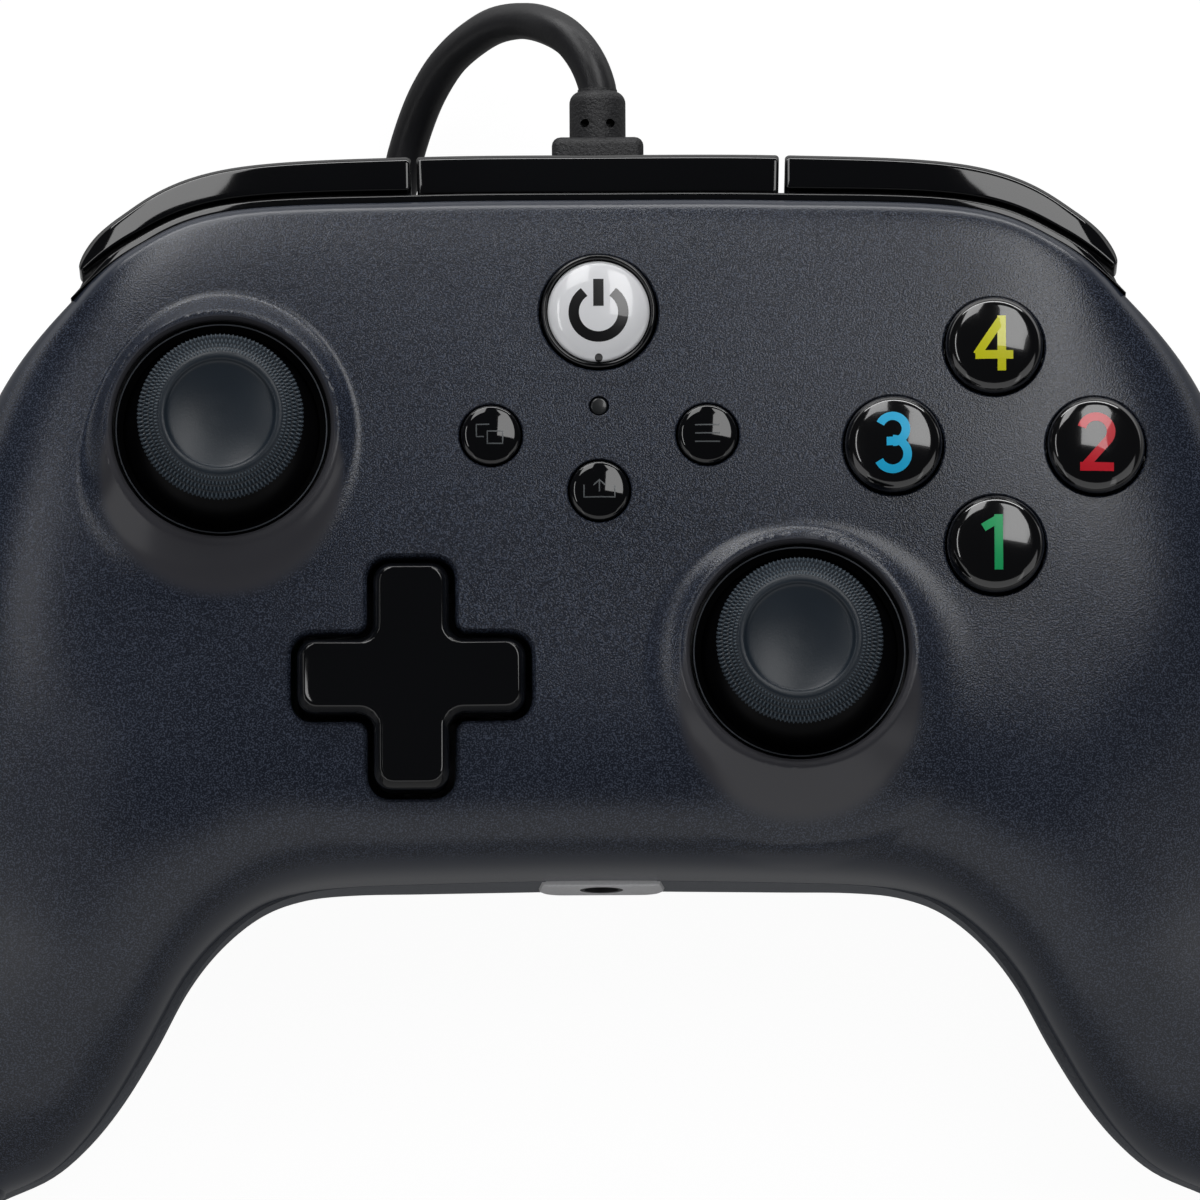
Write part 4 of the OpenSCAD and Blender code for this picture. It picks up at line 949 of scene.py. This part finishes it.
def swept(name, start, stop, near, far, low, high, top_r, low_r, end_r, count=90):
    """A bar along the shell's edge between two distances from it, with a sloped top and round edges."""
    a_mm = (stop - start) / float(np.linalg.norm(edge(stop) - edge(start)))
    turns = np.radians([0, 15, 30, 45, 60, 75, 90])
    first = [(start + a_mm * end_r[0] * (1 - math.sin(t)), end_r[0] * (1 - math.cos(t))) for t in turns[::-1]]
    final = [(stop - a_mm * end_r[1] * (1 - math.sin(t)), end_r[1] * (1 - math.cos(t))) for t in turns]
    middle = [(u, 0.0) for u in np.linspace(first[-1][0], final[0][0], count)][1:-1]
    rows = first + middle + final
    points = []
    for u, pull in rows:
        a, b = near(u) + pull, far(u) - pull
        if b - a < 0.1:
            a = b = (a + b) / 2
            a, b = a - 0.05, b + 0.05
        bottom, top = low + pull, high - pull
        fall = along(top_slope, abs(u))
        near_r, far_r, lower_r = (min(r, (b - a) * 0.45) for r in (*top_r, low_r))
        outline = arc((b - far_r, top - far_r), far_r, 0, 90, 8)
        outline += arc((a + near_r, top - near_r), near_r, 90, 180, 5)
        outline += arc((a + lower_r, bottom + lower_r), lower_r, 180, 270, 4)
        outline += arc((b - lower_r, bottom + lower_r), lower_r, 270, 360, 4)
        points += [(*edge_off(u, d), z - fall * (d - near(u)) * (z - bottom) / (top - bottom))
                   for d, z in outline]
    return softened(solid(name, points, tube_faces(len(rows), len(outline))), 50)


gloss = mottled("gloss_black", "#050506", "#0b0c0e", 35, 4, (0.04, 0.03), specular_ior_level=0.65)
trim_near, trim_far = 0.06, 0.06 + trim_t


def trim_side(u):
    """Outer side of the trim, which thins out to nothing at both tips."""
    return trim_near + trim_t * (1 - 0.85 * ease((abs(u) - 3.3) / 0.7))


trim_low = 31
trim = swept("trim_strip", -4, 4, lambda u: trim_near, trim_side, trim_low, bumper_top,
             (0.1, 0.3), 0.1, thin_r, 160)
dress(trim, gloss, "housing", "gloss_black", "top_trim")
bridge_end = station_at(bridge_half)
bridge = swept("bridge_bar", -bridge_end, bridge_end, lambda u: 0.1 + trim_t, lambda u: bumper_d,
               trim_low + 0.2, bar_top, bar_r, 0.3, (0.35, 0.35))
dress(bridge, gloss, "housing", "gloss_black", "bumper_bridge")
bumper_start = station_at(bridge_half + bridge_gap)
bumper_end = 3.7
end_round = 3.2


def bumper_far(u):
    """Outer side of a bumper, drawn in to a round end."""
    near = trim_far + bumper_gap
    past = max(0.0, (abs(u) - end_round) / (bumper_end + 0.02 - end_round))
    return near + (bumper_d * along(bumper_taper, abs(u)) - near) * math.sqrt(max(0.0, 1 - past ** 2.4))


for side, sign in (("left", -1), ("right", 1)):
    bumper = swept(f"{side}_bumper_bar", sign * bumper_start, sign * bumper_end,
                   lambda u: trim_far + bumper_gap, bumper_far, bumper_low, bar_top,
                   bar_r, 0.35, (0.35, 0.3), 140)
    dress(bumper, gloss, f"{side}_bumper", "gloss_black", f"{side}_bumper")
    lip = swept(f"{side}_trim_lip", sign * station_at(bridge_half + 4), sign * 3.5, lambda u: 0.1,
                lambda u: 3.2, trim_low, trim_low + 0.5, thin_r, 0.1, thin_r)
    dress(lip, moulding, "housing", "gloss_black")


# Triggers: satin black blades that follow the back edge, each hung on a steel pin by a short arm,
# with a wound return spring beside the arm.
blade = [(-2, 30.4), (3.7, 30.4), (3.2, 26), (2.8, 21), (3, 16), (3.9, 12), (5, 9), (4.4, 8), (2.4, 8.2),
         (0.4, 10.4), (-1.2, 15), (-2, 22)]
blade_u = [1.78, 2.1, 2.4, 2.7, 3, 3.3, 3.6, 3.9, 4.15]
blade_taper = [1, 1, 0.98, 0.94, 0.86, 0.74, 0.54, 0.26, 0.04]
trigger_y = 35.5
trigger_z = 25
arm_x = (35, 41)
arm_end = 44.2
blade_middle = np.array([1.0, 20])


def closed_line(points, fine):
    """A smooth closed curve through the points."""
    wrapped = np.array(list(points[-2:]) + list(points) + list(points[:3]), float)
    return smooth_line(wrapped, fine)[2 * fine:-3 * fine]


blade_outline = closed_line(blade, 5)
satin = mottled("trigger_satin", "#0c0c0e", "#1a1a1d", 3000, 2, (0.12, 0.3), 0.00003)
for side, sign in (("left", -1), ("right", 1)):
    rows = []
    for k in np.linspace(0, len(blade_u) - 1, 49):
        u = along(blade_u, k)
        narrow = along(blade_taper, k)
        end = 1 - 0.12 * max(0, 1 - min(k, len(blade_u) - 1 - k) / 0.25) ** 2
        outline = blade_middle + (blade_outline - blade_middle) * end
        rows.append([(*edge_off(sign * u, d * narrow if d > 0 else d), z) for d, z in outline])
    trigger = solid(f"{side}_trigger_blade", np.vstack(rows), tube_faces(len(rows), len(blade_outline)))
    arm_sides = sorted(sign * x for x in arm_x)
    arm = box("arm", (arm_sides[0], trigger_y, trigger_z - 2.6), (arm_sides[1], arm_end, trigger_z + 3), 0.4)
    joined(trigger, [arm], "UNION")
    softened(trigger, 40)
    dress(trigger, satin, f"{side}_trigger", "trigger_plastic", f"{side}_trigger")


# Face buttons: black bodies under a polished clear dome, each with a coloured numeral moulded in.
# They slide in sleeves of the face and press on rubber domes.
button_rise = 2.4
button_dome = 1.8
sleeve_low = 38.2
leans_to = {"north": (0.0, 0.0), "south": (-0.015, -0.02), "east": (0.13, 0.0), "west": (-0.06, 0.0)}
drops = {"north": 1.4, "south": 0.5, "east": 1.7, "west": 0.3}
dome_low = 31.7
cap_share = 0.72
cap_slope = 0.24


def button_height(r, radius, dome):
    """How far the button's top lies under its middle: a shallow cap, then a round shoulder."""
    start = cap_share * radius
    if r <= start:
        return cap_slope * r * r / (2 * start)
    sunk = cap_slope * start / 2
    low = math.atan(cap_slope)
    turn = math.asin(min(math.sin(low) + (r - start) / (radius - start) * (1 - math.sin(low)), 1))
    return sunk + (dome - sunk) * (1 - math.cos(turn) / math.cos(low))


flange_w = 0.9
flange_top = sleeve_low - 0.3
flange_low = sleeve_low - 1.3
stem_low = dome_low + 1.6


def button_foot(r):
    """Side, flange and stem of a button."""
    return [(r, flange_top), (r + flange_w, flange_top), (r + flange_w, flange_low), (r * 0.5, flange_low),
            (r * 0.5, stem_low), (0, stem_low)]


def button_profile(r, top, dome):
    """Dome, side, flange and stem of a button."""
    shoulder = 1 - (1 - np.linspace(0, 1, 16)[1:]) ** 2
    shares = [0, *np.linspace(0.08, cap_share, 10), *(cap_share + (1 - cap_share) * shoulder)]
    return [(r * k, top - button_height(r * k, r, dome)) for k in shares] + button_foot(r)


def spun(name, profile, place, steps=96):
    """A piece turned on an upright axis, smooth but for its sharp edges."""
    return softened(turned(name, profile, (*place, 0), steps=steps), 40)


stroke_up = 0.015
stroke_step = 0.004
stroke_depth = 0.1


def ribbon(name, paths, width, height_at, place):
    """Flat strokes along paths, laid on a domed surface and sunk a little into it."""
    points, faces = [], []
    for rank, path in enumerate(paths):
        path = np.array(path, float)
        fine = []
        for a, b in zip(path, path[1:]):
            cuts = max(1, int(np.linalg.norm(b - a) / 0.25))
            fine += [a + (b - a) * k / cuts for k in range(cuts)]
        fine = np.array(fine + [path[-1]])
        closed = np.allclose(path[0], path[-1])
        before = np.roll(fine, 1, axis=0) if not closed else np.vstack([fine[-2], fine[:-1]])
        after = np.roll(fine, -1, axis=0) if not closed else np.vstack([fine[1:], fine[1]])
        if not closed:
            before[0], after[-1] = fine[0], fine[-1]
        into = fine - before
        out = after - fine
        into[0] = into[0] if closed else out[0]
        out[-1] = out[-1] if closed else into[-1]
        into /= np.linalg.norm(into, axis=1)[:, None]
        out /= np.linalg.norm(out, axis=1)[:, None]
        mid = into + out
        mid /= np.linalg.norm(mid, axis=1)[:, None]
        across = np.stack([-mid[:, 1], mid[:, 0]], axis=1)
        reach = width / 2 / np.maximum(np.sum(mid * into, axis=1), 0.87)
        start = len(points)
        for k, p in enumerate(fine):
            for s in (-1, 0, 1):
                x, y = p + across[k] * reach[k] * s
                points.append((place[0] + x, place[1] + y, height_at(x, y) + stroke_up + stroke_step * rank))
        for k in range(len(fine) - 1):
            a = start + 3 * k
            faces += [(a, a + 1, a + 4, a + 3), (a + 1, a + 2, a + 5, a + 4)]
    obj = solid(name, points, faces)
    if obj.data.polygons[0].normal.z < 0:
        obj.data.flip_normals()
    modified(obj, "SOLIDIFY", thickness=stroke_depth * MM, offset=-1)
    return softened(obj, 50)


numerals = {
    "south": [[(0.3, 2.8), (0.3, -2.8)], [(0.3, 2.35), (-1.25, 1.45)]],
    "east": [arc((0, 1.2), 1.5, 165, -35, 18) + [(-1.2, -2.4)], [(-1.65, -2.4), (1.75, -2.4)]],
    "west": [arc((-0.1, 1.3), 1.35, 155, -90, 20), arc((-0.1, -1.25), 1.5, 90, -155, 24),
             [(-0.7, 0.05), (0, 0.05)]],
    "north": [[(0.75, -2.8), (0.75, 2.8)], [(0.7, 2.4), (-1.75, -1.2)], [(-1.9, -1.2), (1.9, -1.2)]],
}
numeral_shades = {"south": "#12a862", "east": "#d00a24", "west": "#1cb8ea", "north": "#d6d40c"}
button_slots = {"south": "button_green", "east": "button_red", "west": "button_blue",
                "north": "button_yellow"}
numeral_w = 0.86
clear_black = mottled("clear_black", "#030303", "#070708", 120, 3, coat_weight=1.0, coat_roughness=0.02,
                      roughness=0.12)
for name, place in faces_at.items():
    top = face_z - drops[name] + button_rise
    lean_x, lean_y = leans_to[name]
    profile = button_profile(button_r, top, button_dome)
    button = spun(f"button_{name}_dome", profile, place)
    for corner in button.data.vertices:
        if corner.co.z > (top - button_dome - 0.1) * MM:
            corner.co.z -= lean_x * (corner.co.x - place[0] * MM) + lean_y * (corner.co.y - place[1] * MM)
    dress(button, clear_black, f"button_{name}", button_slots[name], f"button_{name}")
    mark = ribbon(f"button_{name}_numeral", numerals[name], numeral_w,
                  lambda x, y: (top - button_height(math.hypot(x, y), button_r, button_dome)
                                - lean_x * x - lean_y * y), place)
    ink, spot = finish(f"ink_{name}", coat_weight=1.0, coat_roughness=0.02, roughness=0.35)
    ink_shade = linear(numeral_shades[name])
    feed(ink, base_color=spot.noise(300, 3).mix(tuple(c * 0.9 for c in ink_shade[:3]) + (1,), ink_shade))
    dress(mark, ink, f"button_{name}", button_slots[name])


# Home button: a milky white dome lit from behind, set in a black bezel, with a dark on/off sign and a
# small sensor dot at its lower edge.
home_top = face_z - 1.5 + 1.6
bezel_w = 0.55
dome_r = home_r - bezel_w
bezel_profile = [(0, home_top - 1.2), (dome_r + 0.02, home_top - 1.2), (dome_r + 0.05, home_top - 1.0)]
bezel_profile += arc((home_r - 0.28, home_top - 1.05), 0.25, 135, 0, 6)
bezel_profile += button_foot(home_r)
bezel = spun("home_bezel", bezel_profile, home_at)
dress(bezel, gloss, "home_button", "home_white", "home_button")
dome_rise = 1.5


def home_height(x, y):
    """Height of the dome's surface at an offset from its middle."""
    return home_top - dome_rise + dome_rise * math.sqrt(max(0, 1 - (x * x + y * y) / dome_r ** 2))


home_profile = [(r, home_height(r, 0)) for r in dome_r * np.sin(np.linspace(0, math.pi / 2, 22))]
home_profile += [(dome_r, home_top - 1.9), (0, home_top - 1.9)]
home_dome = spun("home_dome", home_profile, home_at)
polished = {"coat_weight": 1.0, "coat_roughness": 0.03, "roughness": 0.3}
milky = mottled("milky_white", "#e2e3e6", "#eeeff1", 180, 3, **polished)
dress(home_dome, milky, "home_button", "home_white")
sign_w = 1.05
sign_lines = [arc((0, -0.2), 2.5, 125, 415, 40), [(0, 0.4), (0, 3.2)]]
sign = ribbon("home_sign", sign_lines, sign_w, home_height, home_at)
sign_ink = mottled("sign_ink", "#060607", "#0e0e10", 300, 3, **polished)
dress(sign, sign_ink, "home_button", "home_white")
dot = ribbon("home_dot", [arc((0, -dome_r + 0.5), 0.2, 0, 360, 20)], 0.4, home_height, home_at)
dress(dot, sign_ink, "home_button", "home_white")


# Small buttons: three gloss black domes with fine engraved line signs for two windows, a list and a tray,
# laid on as grey strokes whose grey is a painted highlight for the light on the engraved lines, and the
# smoked pinhole lens of the status light between them.
small_top = face_z - 0.2 + 0.9
small_dome = 0.8
fine_line = 0.13
signs = {
    "menu": [[(-1.25, y), (1.25, y)] for y in (0.85, 0, -0.85)],
    "view": [[(-0.15, 1.0), (-1.45, 1.0), (-1.45, -0.25), (-0.7, -0.25)],
             [(-0.35, 0.3), (1.2, 0.3), (1.2, -0.95), (-0.35, -0.95), (-0.35, 0.3)]],
    "share": [[(-1.55, 0.5), (-1.55, -0.75), (1.55, -0.75), (1.55, 0.5)], [(0, -0.2), (0, 0.95)],
              [(-0.6, 0.45), (0, 1.0), (0.6, 0.45)]],
}
# The signs' grey is a painted highlight for the light caught by the engraved lines.
sign_highlight_grey = mottled("sign_highlight_grey", "#44484a", "#5c6062", 400, 3, (0.2, 0.2), wear=(300,))
small_profile = button_profile(small_r, small_top, small_dome)
for name, place in small_at.items():
    button = spun(f"{name}_button_dome", small_profile, place, 72)
    dress(button, gloss, f"{name}_button", "gloss_black", f"{name}_button")
    mark = ribbon(f"{name}_button_sign", signs[name], fine_line,
                  lambda x, y: small_top - button_height(math.hypot(x, y), small_r, small_dome), place)
    dress(mark, sign_highlight_grey, f"{name}_button", "gloss_black")
lens_top = face_z - 0.6
lens_profile = [(0, lens_top)] + arc((light_r - 0.25, lens_top - 0.25), 0.25, 90, 0, 5)
lens_flange = light_r + 1
lens_low = 29
lens_profile += [(light_r, 42.9), (lens_flange, 42.9), (lens_flange, 41.5), (light_r, 41.5),
                 (light_r, lens_low), (0, lens_low)]
lens = spun("status_lens", lens_profile, light_at, 40)
smoke = mottled("smoked_lens", "#101214", "#1b1e20", 600, 2, (0.1, 0.25), wear=(500, 2), coat_weight=0.6)
dress(lens, smoke, "housing", "smoked_plastic", "status_light")


# Cross pad: one polished black cross with sloped sides and a shallow dish over all four arms, rocking
# on a two-axis pin under the face.
pad_top = face_z + 1.7
pad_dip = 0.35
pad_reach = 10.9
side_top = 47
pad_rows = [(23, 43.5), (23, 46.6), (22.9, 46.85), (22.0, 48.0), (21.8, 48.16), (21.55, 48.22), (21.25, 48.2)]


def dip(r):
    """How far the dished top lies under its rim at a distance from the middle."""
    return pad_dip * (1 - (min(r, pad_reach) / pad_reach) ** 2)


pad_points = []
for length, z in pad_rows:
    less = pad_w - length
    outline = cross_outline(length, arm_w - less, 1.8 - less * 0.3, 1.6 + less * 0.3)
    for x, y in outline:
        sunk = 0 if z < side_top else dip(math.hypot(x - pad[0], y - pad[1]))
        pad_points.append((x, y, z - sunk))
pad_inner = cross_outline(21.25, arm_w - 1.75, 1.27, 2.12)
for scale in (0.96, 0.9, 0.8, 0.68, 0.55, 0.42, 0.3, 0.18, 0.08):
    for x, y in pad_inner:
        x, y = (x - pad[0]) * scale, (y - pad[1]) * scale
        pad_points.append((pad[0] + x, pad[1] + y, pad_top - dip(math.hypot(x, y))))
pad_count = len(pad_inner)
cross = softened(solid("cross_top", pad_points, tube_faces(len(pad_points) // pad_count, pad_count)), 50)
dress(cross, gloss, "cross_pad", "gloss_black", "cross_pad")


# Sticks: under each opening a polished black dome turns with the shaft, inside a thin fixed ring. The
# cap is grey rubber with a dished top and five rows of beads round its bevel and side.
pivot_z = 35
cap_top = pivot_z + 21.3
dish = [(0, -1.25), (2, -1.15), (3.6, -0.9), (4.8, -0.6), (5.3, -0.42), (5.48, -0.22), (5.62, -0.06),
        (5.9, 0), (6.15, -0.03), (6.3, -0.1)]
bead_count = 118
bead_steps = 6
band_steps = 6
bevel_line = [(6.3, -0.1), (8.1, -1.8), (8.15, -2.1), (8.15, -3.2)]
under = [(8.0, -3.45), (7.6, -3.6), (5.5, -3.85), (3.2, -4.5), (3.2, -11), (1.63, -11), (1.63, -3.8),
         (0, -3.8)]


def cap_rows():
    """The cap's profile: (radius, height, outward direction, share of a bead's swell, bead row)."""
    rows = [(r, h, (0, 0), 0.0, 0) for r, h in smooth_line(dish, 3)]
    line = np.array(bevel_line)
    run = np.concatenate([[0], np.cumsum(np.linalg.norm(np.diff(line, axis=0), axis=1))])
    bands = [0.0, 0.55, 1.2, 1.95, 2.7, run[-1]]
    for row, (a, b) in enumerate(zip(bands, bands[1:])):
        for k in np.arange(1, band_steps + 1) / band_steps:
            s = a + (b - a) * k
            r, h = np.interp(s, run, line[:, 0]), np.interp(s, run, line[:, 1])
            slope = math.radians(45) if s < 2.4 else math.radians(5)
            rows.append((r, h, (math.cos(slope), math.sin(slope)), max(math.sin(math.pi * k), 0) ** 0.7, row))
    return rows + [(r, h, (0, 0), 0.0, 0) for r, h in under]


bead_height = [0.16, 0.22, 0.28, 0.34, 0.26]
rubber, spot = finish("cap_rubber", specular_ior_level=0.4)
rubber_dust = spot.noise(150, 4)
# The beads' tips are painted lighter blue-grey: a painted highlight for the glints on the beads.
painted_bead_glint = spot.node("ShaderNodeAttribute", {"attribute_name": "bead"}, {}, 2)
rubber_shade = rubber_dust.mix(linear("#171e25"), linear("#232c35"))
feed(rubber, base_color=(painted_bead_glint ** 2.0).mix(rubber_shade, linear("#5a6670")),
     roughness=rubber_dust * 0.1 + 0.32 - painted_bead_glint * 0.08,
     normal=spot.noise(4000, 2).bump(0.000008))
deep = mottled("deep_black", "#030304", "#08080a", 80, 3, (0.1, 0.3), specular_ior_level=0.08)
ring_black = mottled("ring_black", "#040405", "#0a0a0b", 90, 3, (0.08, 0.14), wear=(60, 3))
# The thin light grey bead laid round each ring's inner lip is a painted highlight line along that edge.
ring_painted_highlight = mottled("ring_painted_highlight", "#3c4046", "#5c6168", 400, 3, (0.1, 0.25), wear=(300, 3))
seat_z = face_z - 1.7
ring_r = stick_hole_r + 1.6
ring_profile = [(stick_hole_r - 1.1, rim_z - 2.2), (stick_hole_r - 0.45, rim_z - 1.3)]
ring_profile += arc((stick_hole_r - 0.4, rim_z - 1.2), 0.1, 150, 0, 5)
ring_profile += [(stick_hole_r - 0.3, seat_z - 0.15), (ring_r, seat_z - 0.15), (ring_r, seat_z - 2.5),
                 (ring_r - 1, seat_z - 1.55), ring_profile[0]]
highlight_profile = arc((stick_hole_r - 0.4, rim_z - 1.13), 0.07, 0, 360, 13)


def ball(radius, start, stop, count):
    """Profile of a part of a ball about the stick's pivot, in degrees from its top."""
    turns = np.radians(np.linspace(start, stop, count))
    return [(radius * math.sin(t), pivot_z + radius * math.cos(t)) for t in turns]


bowl_r = 13.9
bowl_wall = 1.2
bowl_profile = ball(bowl_r, 14.2, 75, 30) + ball(bowl_r - bowl_wall, 75, 15.6, 24)
bowl_profile.append(bowl_profile[0])
for side, place in sticks.items():
    ring = spun(f"{side}_stick_ring", ring_profile, place, 128)
    dress(ring, ring_black, "housing", "gloss_black", *(["stick_rings"] if side == "left" else []))
    # Painted highlight: a light grey bead on the ring's lip.
    highlight_line = spun(f"{side}_stick_ring_edge", highlight_profile, place, 128)
    dress(highlight_line, ring_painted_highlight, "housing", "gloss_black")
    dome = spun(f"{side}_stick_bowl", bowl_profile, place, 128)
    dress(dome, deep, f"{side}_stick", "gloss_black", f"{side}_stick_dome")
    points, tips, around = [], [], bead_count * bead_steps
    rows = cap_rows()
    for r, h, way, share, row in rows:
        for k in range(around):
            turn = 2 * math.pi * k / around
            tips.append(share * (0.5 + 0.5 * math.cos(bead_count * turn + math.pi * row)))
            swell = bead_height[row] * tips[-1]
            reach = r + way[0] * swell
            points.append((place[0] + reach * math.cos(turn), place[1] + reach * math.sin(turn),
                           cap_top + h + way[1] * swell))
    cap = solid(f"{side}_stick_thumb_cap", points, tube_faces(len(rows), around)[1:])
    # The bead swell is kept on the mesh so that the shader can paint the bead tips lighter, a painted
    # highlight.
    cap.data.attributes.new("bead", "FLOAT", "POINT").data.foreach_set("value", tips)
    faced_out(cap, 0.000002)
    softened(cap, 60)
    dress(cap, rubber, f"{side}_stick", "cap_rubber", f"{side}_stick_cap")


# Inside: the board with its sensors and switches, rubber membranes, stick frames, motors and screws.
# They stay as the exact solids and only take their finishes.
def coat(material, *names):
    for name in names:
        for held in cad[name].material_slots:
            held.material = material


steel = mottled("plain_steel", "#9ea2a7", "#c6c9cc", 260, 4, (0.25, 0.25), metallic=1.0)
mask = mottled("board_mask", "#0f4428", "#1a6b40", 300, 4, (0.15, 0.35), coat_weight=0.4)
membrane = mottled("membrane_rubber", "#85878c", "#a2a4a8", 300, 3, (0.15, 0.6))
nylon = mottled("yoke_nylon", "#d2d2cb", "#e4e4de", 250, 3, (0.15, 0.4))
coat(steel, "bumper_pins", "trigger_pins", "pad_spider", "shell_screws")
coat(mask, "main_board")
coat(membrane, "button_membrane", "pad_membrane")
coat(moulding, "trigger_brackets", "pad_carrier", "stick_sensors", "switches", "headset_socket")
for side in sticks:
    coat(steel, f"{side}_trigger_spring", f"{side}_stick_base", f"{side}_stick_spring")
    coat(steel, f"{side}_motor", f"{side}_weight")
    coat(nylon, f"{side}_stick_yoke", f"{side}_stick_sensor_yoke")
    coat(moulding, f"{side}_stick_carrier", f"{side}_stick_shaft")
